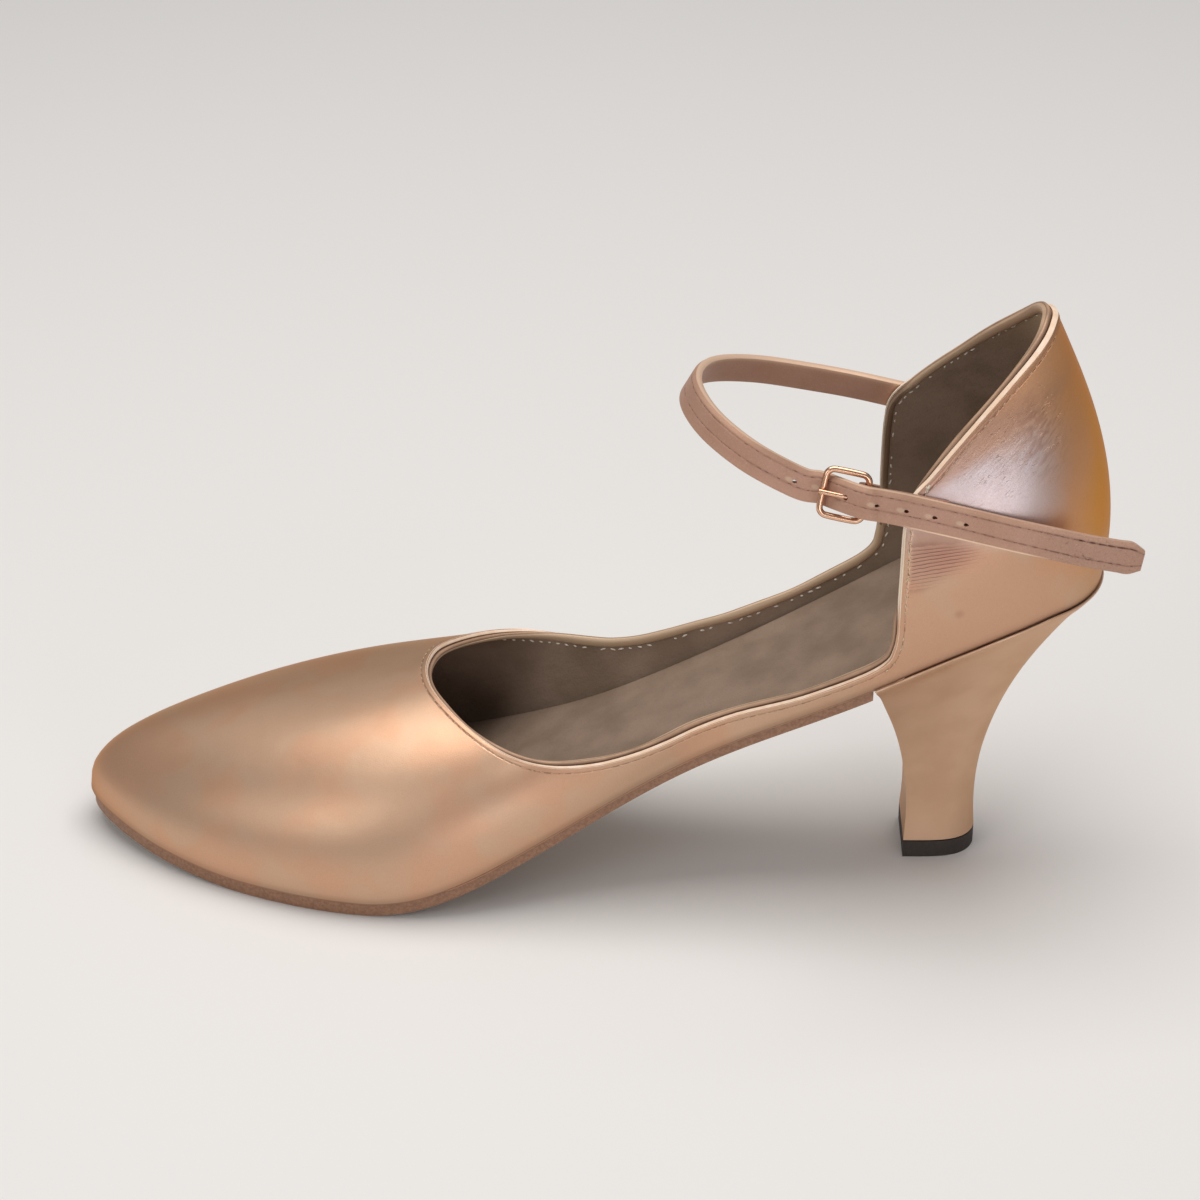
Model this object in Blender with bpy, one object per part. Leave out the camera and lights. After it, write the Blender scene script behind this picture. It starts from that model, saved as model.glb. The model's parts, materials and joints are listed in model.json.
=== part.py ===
"""A closed-toe ballroom dance shoe for the left foot, standing empty on its heel and forefoot.

Lengths in the tables are millimetres. `along` runs from the back of the heel seat to the toe,
`across` is positive on the outer side of the left foot, `height` is above the floor.
The finished objects are in metres, with the origin at the middle of the top-piece's underside,
+X to the toe, +Y to the outer side and +Z up.
"""
import bisect
import math

import bmesh
import bpy
import numpy as np
from mathutils import Vector

MM = 0.001

# Driving dimensions of a women's size 37 on a 70 mm heel.
SHOE_LENGTH = 224.0
SEAT_HEIGHT = 70.2
SEAT_HALF_WIDTH = 26.4
BACK_HEIGHT = 61.6
SOLE_THICKNESS = 3.2
SHANK_THICKNESS = 2.8
INSOLE_THICKNESS = 2.2
WALL = 2.0
GAP = 0.3
HEEL_CENTRE = 32.6
BREAST = 50.0
TOP_PIECE = 4.0
STRAP_WIDTH = 7.0
STRAP_THICKNESS = 1.7
TAB_THICKNESS = 1.2
WIRE_RADIUS = 0.8
PRONG_RADIUS = 0.6
SOLE_GAP = 0.4
SOLE_INSET = 0.8
FOREFOOT_HEIGHT = SOLE_THICKNESS + SOLE_GAP

# Side view of the edge where upper and sole meet: seat, shank, flat forefoot and toe spring.
FEATHER = [
    # place         along          height
    ("behind",       -6.0, SEAT_HEIGHT),
    ("seat_back",     0.0, SEAT_HEIGHT),
    ("seat_level",   10.0, SEAT_HEIGHT - 0.2),
    ("seat_middle",  20.0, SEAT_HEIGHT - 2.8),
    ("seat_wide",    30.0, SEAT_HEIGHT - 6.8),
    ("seat_front",   40.0, SEAT_HEIGHT - 11.5),
    ("breast",       52.0, SEAT_HEIGHT - 17.6),
    ("shank",        90.0, 34.6),
    ("waist",       122.0, 17.0),
    ("behind_ball", 140.0, 8.2),
    ("ball",        152.0, FOREFOOT_HEIGHT + 0.9),
    ("tread_start", 160.0, FOREFOOT_HEIGHT),
    ("tread_end",   188.0, FOREFOOT_HEIGHT),
    ("toes",        206.0, FOREFOOT_HEIGHT + 1.5),
    ("toe",         SHOE_LENGTH, FOREFOOT_HEIGHT + 4.6),
    ("before",      SHOE_LENGTH + 6.0, FOREFOOT_HEIGHT + 6.0),
]

# Plan view of the last: half widths on the outer and the inner side.
PLAN = [
    # place         along   outer             inner
    ("seat_back",     0.0,   0.0,              0.0),
    ("round_back",    3.2,  12.4,             12.4),
    ("round_side",   10.0,  20.2,             20.0),
    ("seat_side",    22.0,  25.0,             24.4),
    ("seat_wide",    36.0, SEAT_HALF_WIDTH,   25.2),
    ("breast",       56.0, SEAT_HALF_WIDTH,   22.4),
    ("shank",        84.0,  25.5,             17.5),
    ("waist",       108.0,  28.6,             19.5),
    ("behind_ball", 130.0,  34.2,             28.5),
    ("outer_ball",  150.0,  37.6,             36.0),
    ("inner_ball",  168.0,  35.8,             37.6),
    ("toes",        188.0,  28.6,             33.6),
    ("toe_side",    205.0,  18.6,             26.4),
    ("toe_round",   217.0,   7.6,             17.2),
    ("toe_tip",     SHOE_LENGTH, -5.4,         5.4),
]

# The heel counter's full-height section, at the middle of the back and at the sides.
COUNTER = [
    # place   flare  rise  crown  fall  forward
    ("back",  10.0,  22.3,  24.8, 23.0, 13.2),
    ("side",  16.8,  31.0,  27.2, 27.4,  0.0),
]
COLLAR_NARROWING = 11.4 / 26.4

# The topline of the quarter and the waist, from the middle of the back. `ring` is the way
# round the feather edge, and `above` is the height over that edge.
TOPLINE = [
    # place         foot_ring top_ring  above
    ("back",            0.0,    0.0,  BACK_HEIGHT + 0.1),
    ("peak",            8.0,    8.0,  BACK_HEIGHT + 0.3),
    ("shoulder",       18.0,   18.0,  BACK_HEIGHT - 1.1),
    ("fall_start",     28.0,   28.0,  58.9),
    ("fall",           38.0,   38.0,  55.9),
    ("ankle",          46.8,   47.8,  50.8),
    ("under_strap",    52.0,   54.6,  46.4),
    ("corner",         55.4,   58.8,  42.8),
    ("front_edge_top", 57.6,   59.8,  37.0),
    ("front_edge",     59.2,   60.1,  27.0),
    ("front_edge_low", 60.5,   60.3,  18.0),
    ("edge_foot",      62.4,   60.7,  10.0),
    ("turn",           66.6,   63.4,   6.0),
    ("low_side",       80.0,   75.0,   5.4),
    ("shank",         104.0,  101.0,   6.4),
    ("waist",         126.0,  124.0,   8.4),
]

# The vamp's sections run from the feather edge up and back to the throat.
VAMP = [
    # place       foot_along top_along top_across top_height flare  rise  fall  drop
    ("outer_shank",   88.0,    87.0,     27.3,      44.3,   14.0,   3.0,  3.0, 80.0),
    ("outer_waist",  108.0,   104.0,     29.9,      37.4,   14.0,   5.0,  4.0, 76.0),
    ("outer_flank",  130.0,   121.5,     30.2,      35.6,   13.0,   9.0,  9.0, 58.0),
    ("outer_ball",   154.0,   134.0,     24.0,      38.0,   12.0,  15.0, 15.0, 30.0),
    ("outer_toes",   184.0,   143.0,     13.6,      40.8,   10.0,  16.0, 28.0, 15.0),
    ("outer_tip",    210.0,   146.8,      5.6,      41.9,    9.0,  15.0, 42.0, 13.0),
    ("toe_tip",   SHOE_LENGTH, 147.6,    -1.0,      42.2,    8.0,  15.0, 46.0, 13.0),
    ("inner_tip",    210.0,   146.6,     -7.6,      41.9,    9.0,  15.0, 42.0, 13.0),
    ("inner_toes",   184.0,   142.6,    -15.2,      40.8,   10.0,  16.0, 30.0, 15.0),
    ("inner_ball",   156.0,   133.0,    -24.0,      38.6,   12.0,  15.0, 16.0, 30.0),
    ("inner_flank",  130.0,   119.5,    -26.2,      37.0,   13.0,   9.0,  8.0, 58.0),
    ("inner_waist",  108.0,   103.0,    -21.6,      38.2,   14.0,   5.0,  4.0, 76.0),
    ("inner_shank",   88.0,    86.5,    -19.2,      44.6,   14.0,   3.0,  3.0, 80.0),
]
BLEND_START = 84.0
BLEND_END = 104.0

# Heel block: `share` is the part of the way up from the top-piece to the seat.
HEEL = [
    # place     share  back  breast  half_width
    ("seat",    1.00,  -0.4,  50.0,  SEAT_HALF_WIDTH + 0.4),
    ("lip",     0.98,   0.0,  49.8,  26.4),
    ("cup",     0.94,   2.3,  49.0,  23.8),
    ("under",   0.90,   4.6,  48.3,  21.7),
    ("curve",   0.82,   8.2,  47.2,  18.6),
    ("hollow",  0.75,  11.3,  46.1,  16.1),
    ("throat",  0.66,  14.9,  44.7,  13.4),
    ("pitch",   0.56,  18.3,  43.3,  11.2),
    ("neck",    0.44,  21.5,  42.0,   9.4),
    ("slim",    0.28,  24.3,  40.6,   7.9),
    ("foot",    0.12,  25.0,  40.4,   8.0),
    ("base",    0.00,  24.4,  40.8,   8.8),
]

# The strap's middle line, chosen by hand, from the loose end over the quarter to the
# buckle, over the instep and down to the inner quarter. `tilt` turns its face upwards.
LOOSE_END = [
    # place          along  across  height  tilt
    ("loose_end",     -5.0,   27.8,   87.0,  10.0),
    ("off_back",       7.0,   29.4,   89.9,  12.0),
    ("off_counter",   19.0,   30.5,   93.2,  14.0),
    ("on_quarter",    30.0,   30.6,   96.1,  15.0),
]
THROUGH_BUCKLE = [
    # place        forward  outward
    ("on_tab",      -18.0,    1.95),
    ("rising",       -8.6,    3.1),
    ("over_bar",     -4.2,    3.9),
    ("in_window",     0.9,    0.7),
    ("under_rail",    5.0,   -2.55),
    ("leaving",      10.0,   -2.9),
]
OVER_INSTEP = [
    # place          along  across  height  tilt
    ("outer_instep",  79.0,   21.4,  107.4,  20.0),
    ("outer_front",   87.5,   12.4,  110.8,  26.0),
    ("front",         91.0,    0.0,  112.2,  28.0),
    ("inner_front",   87.5,  -12.4,  110.7,  26.0),
    ("inner_instep",  77.0,  -21.6,  106.8,  20.0),
    ("leaving_inner", 62.0,  -25.8,  102.6,  16.0),
    ("inner_edge",    46.0,  -26.6,   99.2,  16.0),
    ("inner_middle",  38.0,  -27.4,   97.6,  16.0),
    ("inner_end",     30.0,  -28.25,  96.0,  16.0),
]
STRAP_STEPS = 84

# The buckle sits in its own frame, on the outer side in front of the quarter.
BUCKLE_AT = (58.6, 26.4, 100.9)
BUCKLE_TURN = -5.0
BUCKLE_RISE = 10.0
BUCKLE_TILT = 15.5
FRAME_LENGTH = 11.0
FRAME_WIDTH = 11.8
FRAME_CORNER = 1.8
BAR = -(FRAME_LENGTH / 2 - WIRE_RADIUS)
RAIL = -BAR
HOOK_START = -120.0
HOOK_TURN = 210.0
TAB_NARROWER = 0.3
TAB_FOLD = 2.4

# The tab's side profile before its fold, as the heights of its under and upper faces.
TAB = [
    # place         forward     under           upper
    ("skived_end",  -22.0,      -0.9,           -0.4),
    ("full",        -20.0,      -0.86,           0.3),
    ("lifting",     BAR - 6.1,  -0.7,            0.5),
    ("at_bar",      BAR - 2.0,  WIRE_RADIUS + GAP, WIRE_RADIUS + GAP + TAB_THICKNESS),
]

COLOURS = {
    # piece          colour                 roughness metallic
    "upper":        ((0.52, 0.30, 0.19, 1), 0.32, 0.75),
    "insole":       ((0.10, 0.07, 0.05, 1), 0.90, 0.0),
    "outsole":      ((0.30, 0.24, 0.19, 1), 0.95, 0.0),
    "heel":         ((0.50, 0.30, 0.20, 1), 0.34, 0.70),
    "top_piece":    ((0.10, 0.08, 0.07, 1), 0.80, 0.0),
    "strap":        ((0.50, 0.31, 0.21, 1), 0.40, 0.60),
    "buckle_tab":   ((0.50, 0.31, 0.21, 1), 0.40, 0.60),
    "buckle_frame": ((0.80, 0.58, 0.40, 1), 0.22, 1.0),
    "buckle_prong": ((0.80, 0.58, 0.40, 1), 0.22, 1.0),
    "prong_slot":   ((0.50, 0.31, 0.21, 1), 0.40, 0.60),
    "prong_way":    ((0.50, 0.31, 0.21, 1), 0.40, 0.60),
}


# ---------------------------------------------------------------- curves

def column(table, *indices):
    """The numbers of some columns of a table, as an array."""
    return np.array([[row[i] for i in indices] for row in table], float)


def monotone(x, knots):
    """A smooth curve through (x, y) knots that never swings past them."""
    xs, ys = knots[:, 0], knots[:, 1]
    width = np.diff(xs)
    slope = np.diff(ys) / width
    tangent = np.zeros(len(xs))
    tangent[0], tangent[-1] = slope[0], slope[-1]
    for i in range(1, len(xs) - 1):
        if slope[i - 1] * slope[i] > 0:
            before = 2 * width[i] + width[i - 1]
            after = width[i] + 2 * width[i - 1]
            tangent[i] = (before + after) / (before / slope[i - 1] + after / slope[i])
    k = min(max(bisect.bisect_right(list(xs), x) - 1, 0), len(xs) - 2)
    t = (x - xs[k]) / width[k]
    return (
        (2 * t**3 - 3 * t**2 + 1) * ys[k] + (t**3 - 2 * t**2 + t) * width[k] * tangent[k]
        + (3 * t**2 - 2 * t**3) * ys[k + 1] + (t**3 - t**2) * width[k] * tangent[k + 1]
    )


class Loop:
    """A closed cubic spline through rows of numbers, with its knots at given places."""

    def __init__(self, places, rows, period):
        self.places, self.rows, self.period = places, rows, period
        count = len(places)
        self.gaps = np.diff(np.append(places, places[0] + period))
        matrix = np.zeros((count, count))
        right = np.zeros_like(rows)
        for i in range(count):
            before, after = self.gaps[i - 1], self.gaps[i]
            matrix[i, i - 1] += before
            matrix[i, i] += 2 * (before + after)
            matrix[i, (i + 1) % count] += after
            right[i] = 6 * ((rows[(i + 1) % count] - rows[i]) / after - (rows[i] - rows[i - 1]) / before)
        self.bends = np.linalg.solve(matrix, right)

    def at(self, place):
        place = (place - self.places[0]) % self.period + self.places[0]
        k = bisect.bisect_right(list(self.places), place) - 1
        n = (k + 1) % len(self.places)
        gap = self.gaps[k]
        u = place - self.places[k]
        w = gap - u
        return (
            (self.bends[k] * w**3 + self.bends[n] * u**3) / (6 * gap)
            + (self.rows[k] / gap - self.bends[k] * gap / 6) * w
            + (self.rows[n] / gap - self.bends[n] * gap / 6) * u
        )


def bezier(points, t):
    a, b, c, d = points
    return a * (1 - t)**3 + 3 * b * t * (1 - t)**2 + 3 * c * t * t * (1 - t) + d * t**3


def smooth_step(value, low, high):
    t = min(max((value - low) / (high - low), 0.0), 1.0)
    return t * t * (3 - 2 * t)


def through(points, t):
    """Catmull-Rom curve through an open run of points, t from 0 to 1."""
    points = np.vstack([2 * points[0] - points[1], points, 2 * points[-1] - points[-2]])
    span = t * (len(points) - 3)
    k = min(int(span), len(points) - 4)
    u = span - k
    a, b, c, d = points[k:k + 4]
    return 0.5 * (2 * b + (c - a) * u + (2 * a - 5 * b + 4 * c - d) * u * u + (3 * b - a - 3 * c + d) * u**3)


# ---------------------------------------------------------------- the last

def feather_height(along):
    return monotone(along, column(FEATHER, 1, 2))


def plan_loop():
    """The feather edge in plan: the outer side to the toe, then the inner side back."""
    outer = [(row[1], row[2]) for row in PLAN]
    inner = [(row[1], -row[3]) for row in PLAN[-2:0:-1]]
    rows = np.array(outer + inner, float)
    steps = np.linalg.norm(np.roll(rows, -1, axis=0) - rows, axis=1)
    return Loop(np.append(0.0, np.cumsum(steps)[:-1]), rows, steps.sum())


RING = plan_loop()


def foot(ring):
    """A point of the feather edge and the outward direction in plan."""
    along, across = RING.at(ring)
    ahead = RING.at(ring + 0.5) - RING.at(ring - 0.5)
    outward = np.array([-ahead[1], ahead[0], 0.0])
    return np.array([along, across, feather_height(along)]), outward / np.linalg.norm(outward)


def ring_at(along, outer):
    """The ring place of a distance along the shoe, on the outer or the inner side."""
    toe = RING.places[len(PLAN) - 1]
    low, high = (0.0, toe) if outer else (RING.period, toe)
    for _ in range(40):
        middle = (low + high) / 2
        if RING.at(middle)[0] < along:
            low = middle
        else:
            high = middle
    return (low + high) / 2


def counter_section(ring):
    """The full-height wall section over one place of the ring, as Bezier points."""
    base, outward = foot(ring)
    backness = min(max(-outward[0], 0.0), 1.0)
    back, side = column(COUNTER, 1, 2, 3, 4, 5)
    flare, rise, crown, fall, forward = side + (back - side) * backness
    flare, crown = math.radians(flare), math.radians(crown)
    up = np.array([0.0, 0.0, 1.0])
    apex = np.array([
        base[0] + forward * backness**0.2,
        base[1] * COLLAR_NARROWING,
        SEAT_HEIGHT + BACK_HEIGHT - 0.6,
    ])
    return (
        base,
        base + rise * (outward * math.sin(flare) + up * math.cos(flare)),
        apex - fall * (up * math.cos(crown) - outward * math.sin(crown)),
        apex,
    )


def wall(ring, above):
    """The point of the wall at a height above the feather edge."""
    section = counter_section(ring)
    low, high = 0.0, 1.3
    for _ in range(30):
        middle = (low + high) / 2
        if bezier(section, middle)[2] < section[0][2] + above:
            low = middle
        else:
            high = middle
    return bezier(section, (low + high) / 2)


def vamp_loop():
    rows = column(VAMP, 1, 2, 3, 4, 5, 6, 7, 8)
    places = [ring_at(row[0], i <= len(rows) // 2) for i, row in enumerate(rows)]
    half = len(rows) // 2
    places[half] = RING.places[len(PLAN) - 1]
    return Loop(np.array(places), rows[:, 1:], RING.period)


VAMP_RING = vamp_loop()


def vamp_section(ring):
    """The vamp's section over one place of the ring, up and back to the throat."""
    base, outward = foot(ring)
    along, across, height, flare, rise, fall, drop = VAMP_RING.at(ring)
    top = np.array([along, across, height])
    flare, drop = math.radians(flare), math.radians(drop)
    down_slope = base - top
    down_slope[2] = 0.0
    down_slope /= max(np.linalg.norm(down_slope), 1e-6)
    up = np.array([0.0, 0.0, 1.0])
    return (
        base,
        base + rise * (outward * math.sin(flare) + up * math.cos(flare)),
        top + fall * (down_slope * math.cos(drop) - up * math.sin(drop)),
        top,
    )


def topline_at(t):
    """Foot place, top place and height of one rib of the quarter, t from 0 to 1."""
    return through(column(TOPLINE, 1, 2, 3), t)


def facing(surface, first, second, step=0.4):
    """The outward direction of a surface at one place, from its neighbours."""
    across = surface(first + step, second) - surface(first - step, second)
    upwards = surface(first, second + step) - surface(first, second - step)
    normal = np.cross(upwards, across)
    return normal / np.linalg.norm(normal)


def vamp(ring, share):
    """The vamp's surface, with the share of the way up given in hundredths."""
    return bezier(vamp_section(ring), share / 100)


def rib(foot_ring, top_ring, above, side, levels):
    """One line up the wall, from the feather edge to the topline, outside and inside."""
    blend = smooth_step(foot_ring, BLEND_START, BLEND_END)
    outside, inside = [], []
    for level in levels:
        point, normal = np.zeros(3), np.zeros(3)
        if blend < 1:
            place = side * (foot_ring + (top_ring - foot_ring) * level)
            point += wall(place, above * level) * (1 - blend)
            normal += facing(wall, place, above * level) * (1 - blend)
        if blend > 0:
            point += vamp(side * foot_ring, 100 * level) * blend
            normal += facing(vamp, side * foot_ring, 100 * level) * blend
        outside.append(point)
        inside.append(point - WALL * normal / np.linalg.norm(normal))
    return outside, inside


def upper_ribs(levels, quarter_count, vamp_count):
    """All ribs of the upper, once round the shoe from the middle of the back."""
    quarter = [topline_at(i / quarter_count) for i in range(quarter_count)]
    outer = [rib(*row, 1, levels) for row in quarter]
    inner = [rib(*row, -1, levels) for row in quarter]
    waist = TOPLINE[-1][1]
    front = []
    for i in range(vamp_count + 1):
        place = waist + (RING.period - 2 * waist) * i / vamp_count
        beyond = place > RING.period / 2
        place = RING.period - place if beyond else place
        front.append(rib(place, place, 0.0, -1 if beyond else 1, levels))
    return outer + front + inner[:0:-1]


def half_widths(inset):
    """The plan outline moved inwards, as two arrays of (along, across)."""
    outer, inner = [], []
    toe = RING.places[len(PLAN) - 1]
    for i in range(241):
        for places, start, end in ((outer, 0.0, toe), (inner, RING.period, toe)):
            base, outward = foot(start + (end - start) * i / 240)
            places.append((base - outward * inset)[:2])
    return np.array(outer), np.array(inner)


# ---------------------------------------------------------------- building

def material(name):
    colour, roughness, metallic = COLOURS[name]
    made = bpy.data.materials.new(name)
    made.use_nodes = True
    shader = made.node_tree.nodes["Principled BSDF"]
    shader.inputs["Base Color"].default_value = colour
    shader.inputs["Roughness"].default_value = roughness
    shader.inputs["Metallic"].default_value = metallic
    return made


def place(points):
    """Table millimetres to metres, with the origin under the heel."""
    return [Vector((p[0] - HEEL_CENTRE, p[1], p[2])) * MM for p in points]


def solid(name, points, faces, angle=40.0):
    """A mesh object from points and faces, shaded smooth up to an angle."""
    mesh = bpy.data.meshes.new(name)
    mesh.from_pydata(place(points), [], faces)
    mesh.update()
    bm = bmesh.new()
    bm.from_mesh(mesh)
    bmesh.ops.recalc_face_normals(bm, faces=bm.faces)
    bm.to_mesh(mesh)
    bm.free()
    mesh.shade_smooth()
    mesh.set_sharp_from_angle(angle=math.radians(angle))
    mesh.materials.append(material(name))
    made = bpy.data.objects.new(name, mesh)
    bpy.context.collection.objects.link(made)
    return made


def tube(name, sections, angle=40.0):
    """A closed solid through closed sections, with flat ends."""
    size = len(sections[0])
    points = [point for section in sections for point in section]
    faces = []
    for i in range(len(sections) - 1):
        for j in range(size):
            k = (j + 1) % size
            faces.append((i * size + j, i * size + k, (i + 1) * size + k, (i + 1) * size + j))
    faces.append(tuple(range(size)))
    faces.append(tuple(range(len(points) - size, len(points))))
    return solid(name, points, faces, angle)


def make_upper():
    """One wall round the whole shoe, open at the collar and underneath."""
    levels = np.linspace(0.0, 1.0, 9)
    ribs = upper_ribs(levels, quarter_count=44, vamp_count=48)
    # each rib goes up the outside and down the inside, so the loop of ribs is the whole wall
    loops = [outside + inside[::-1] for outside, inside in ribs]
    points = [point for line in loops for point in line]
    size = len(loops[0])
    faces = []
    for i in range(len(loops)):
        first, second = i * size, (i + 1) % len(loops) * size
        for j in range(size):
            k = (j + 1) % size
            faces.append((first + j, first + k, second + k, second + j))
    return solid("upper", points, faces, angle=60.0)


def plate(name, start, end, inset, top, bottom, count):
    """A thin piece under the foot, bent along the shoe and level across it."""
    outer, inner = half_widths(inset)
    sections = []
    for i in range(count):
        along = start + (end - start) * (1 - math.cos(math.pi * i / (count - 1))) / 2
        left = np.interp(along, outer[:, 0], outer[:, 1])
        right = np.interp(along, inner[:, 0], inner[:, 1])
        sections.append([
            (along, left, top(along)),
            (along, right, top(along)),
            (along, right, bottom(along)),
            (along, left, bottom(along)),
        ])
    return tube(name, sections, angle=50.0)


def sole_thickness(along):
    return SHANK_THICKNESS + (SOLE_THICKNESS - SHANK_THICKNESS) * smooth_step(along, 90.0, 140.0)


def make_outsole():
    """Suede outsole from the heel breast to the toe, flat under the forefoot."""
    return plate(
        "outsole", BREAST + GAP, SHOE_LENGTH - SOLE_INSET - 0.1, SOLE_INSET,
        top=lambda along: feather_height(along) - SOLE_GAP,
        bottom=lambda along: feather_height(along) - SOLE_GAP - sole_thickness(along),
        count=46,
    )


def make_insole():
    """The insole lies inside the wall, on the outsole and the heel seat."""
    inset = WALL + 2.5 * GAP
    return plate(
        "insole", inset + 0.1, SHOE_LENGTH - inset - 0.1, inset,
        top=lambda along: feather_height(along) + INSOLE_THICKNESS,
        bottom=feather_height,
        count=50,
    )


def heel_section(share, back, breast, half_width, lines):
    """One D-shaped section of the heel, between the seat above and the top-piece below."""
    base = TOP_PIECE + GAP
    points = []
    for depth, spread in lines:
        seat = feather_height(BREAST * depth) - GAP
        points.append((
            back + (breast - back) * depth,
            half_width * spread,
            base + (seat - base) * share,
        ))
    return points


def heel_lines(count):
    """The seat's outline as shares of its depth and half width, once round."""
    outer_end = ring_at(BREAST, True)
    inner_end = ring_at(BREAST, False) - RING.period
    widest = SEAT_HALF_WIDTH
    lines = []
    for i in range(count + 1):
        along, across = RING.at(inner_end + (outer_end - inner_end) * i / count)
        lines.append((along / BREAST, across / widest))
    return lines


def make_heel():
    """Covered heel: a cup under the seat, a hollow back and a slim flared foot."""
    lines = heel_lines(30)
    sections = [heel_section(*row[1:], lines) for row in reversed(HEEL)]
    return tube("heel", sections, angle=50.0)


def make_top_piece():
    """The wearing piece under the heel, flat on the floor."""
    row = HEEL[-1]
    outline = [(row[2] + (row[3] - row[2]) * d, row[4] * s) for d, s in heel_lines(30)]
    sections = [[(x, y, height) for x, y in outline] for height in (0.0, TOP_PIECE)]
    return tube("top_piece", sections, angle=50.0)


def strap_route():
    """The whole middle line of the strap, as rows of along, across, height and tilt."""
    buckle = []
    for _, forward, outward in THROUGH_BUCKLE:
        buckle.append([*from_buckle(forward, 0.0, outward), BUCKLE_TILT])
    return np.vstack([column(LOOSE_END, 1, 2, 3, 4), buckle, column(OVER_INSTEP, 1, 2, 3, 4)])


def band(name, rows, width, thickness, count, tip=0.0):
    """A flat strap along a route, its face outwards and tilted upwards."""
    sections = []
    for i in range(count + 1):
        t = i / count
        along, across, height, tilt = through(rows, t)
        ahead = through(rows, min(t + 0.004, 1.0)) - through(rows, max(t - 0.004, 0.0))
        ahead = Vector(ahead[:3]).normalized()
        outward = Vector((-ahead.y, ahead.x, 0.0)).normalized()
        face = outward * math.cos(math.radians(tilt)) + Vector((0, 0, math.sin(math.radians(tilt))))
        face = (face - ahead * face.dot(ahead)).normalized()
        side = ahead.cross(face) * width / 2
        if i == 0:
            side *= 1.0 - tip
        middle = Vector((along, across, height))
        out = face * thickness / 2
        sections.append([middle + side + out, middle - side + out, middle - side - out, middle + side - out])
    return tube(name, sections, angle=50.0)


def buckle_axes():
    """Forward, width and outward directions of the buckle, and its middle."""
    turn, rise, tilt = (math.radians(v) for v in (BUCKLE_TURN, BUCKLE_RISE, BUCKLE_TILT))
    forward = Vector((math.cos(turn) * math.cos(rise), math.sin(turn) * math.cos(rise), math.sin(rise)))
    outward = Vector((0.0, math.cos(tilt), math.sin(tilt)))
    outward = (outward - forward * outward.dot(forward)).normalized()
    return Vector(BUCKLE_AT), forward, forward.cross(outward), outward


def from_buckle(forward, width, outward):
    """A point given in the buckle's own directions."""
    middle, ahead, wide, out = buckle_axes()
    return middle + ahead * forward + wide * width + out * outward


def rod(name, points, radius, sides=8, closed=False):
    """A round wire through points given in the buckle's directions."""
    points = [Vector(p) for p in points]
    sections = []
    for i, point in enumerate(points):
        before = points[i - 1] if closed or i else points[0]
        after = points[(i + 1) % len(points)] if closed or i + 1 < len(points) else points[-1]
        ahead = (after - before).normalized()
        first = ahead.cross(Vector((0, 0, 1)))
        if first.length < 0.1:
            first = Vector((0, 1, 0))
        first.normalize()
        second = ahead.cross(first)
        ring = []
        for j in range(sides):
            turn = 2 * math.pi * j / sides
            ring.append(from_buckle(*(point + (first * math.cos(turn) + second * math.sin(turn)) * radius)))
        sections.append(ring)
    if not closed:
        return tube(name, sections, angle=60.0)
    flat = [point for section in sections for point in section]
    faces = []
    for i in range(len(sections)):
        n = (i + 1) % len(sections)
        for j in range(sides):
            k = (j + 1) % sides
            faces.append((i * sides + j, i * sides + k, n * sides + k, n * sides + j))
    return solid(name, flat, faces, angle=60.0)


def make_buckle_frame():
    """A rectangular wire frame with round corners."""
    half_length = FRAME_LENGTH / 2 - WIRE_RADIUS
    half_width = FRAME_WIDTH / 2 - WIRE_RADIUS
    points = []
    for quarter, (fx, fy) in enumerate(((1, 1), (-1, 1), (-1, -1), (1, -1))):
        for step in range(5):
            turn = math.pi / 2 * (quarter + step / 4)
            points.append((
                fx * (half_length - FRAME_CORNER) + FRAME_CORNER * math.cos(turn),
                fy * (half_width - FRAME_CORNER) + FRAME_CORNER * math.sin(turn),
                0.0,
            ))
    return rod("buckle_frame", points, WIRE_RADIUS, closed=True)


def prong_points():
    """From a hook round the bar to a tip on the front rail."""
    reach = WIRE_RADIUS + GAP + PRONG_RADIUS
    points = []
    for step in range(9):
        turn = math.radians(HOOK_START + HOOK_TURN * step / 8)
        points.append((BAR - reach * math.cos(turn), 0.0, reach * math.sin(turn)))
    points.append((BAR + 3.0, 0.0, reach))
    points.append((RAIL + 0.9, 0.0, reach))
    return points


def make_buckle_prong():
    return rod("buckle_prong", prong_points(), PRONG_RADIUS)


def make_buckle_tab():
    """A strip that leaves the quarter, passes round the bar and folds back inside."""
    inner = WIRE_RADIUS + GAP
    outer = inner + TAB_THICKNESS
    under = [(row[1], row[2]) for row in TAB]
    upper = [(row[1], row[3]) for row in TAB]
    for step in range(9):
        turn = math.radians(90 - 180 * step / 8)
        under.append((BAR + inner * math.cos(turn), inner * math.sin(turn)))
        upper.append((BAR + outer * math.cos(turn), outer * math.sin(turn)))
    under.append((BAR - TAB_FOLD, -inner))
    upper.append((BAR - TAB_FOLD, -outer))
    profile = under + upper[::-1]
    half = STRAP_WIDTH / 2 - TAB_NARROWER
    sections = [[from_buckle(f, w, o) for f, o in profile] for w in (-half, half)]
    made = tube("buckle_tab", sections, angle=50.0)
    slot = PRONG_RADIUS + GAP
    start = BAR - TAB_FOLD - 0.4
    cut(made, box_in_buckle("prong_slot", (start, BAR + outer + 1), (-slot, slot), (-outer - 1, outer + 1)))
    return made


def box_in_buckle(name, forward, width, outward):
    """A box given in the buckle's directions, used as a cutter."""
    sections = []
    for f in forward:
        corners = ((0, 0), (1, 0), (1, 1), (0, 1))
        sections.append([from_buckle(f, width[i], outward[j]) for i, j in corners])
    return tube(name, sections)


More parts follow.
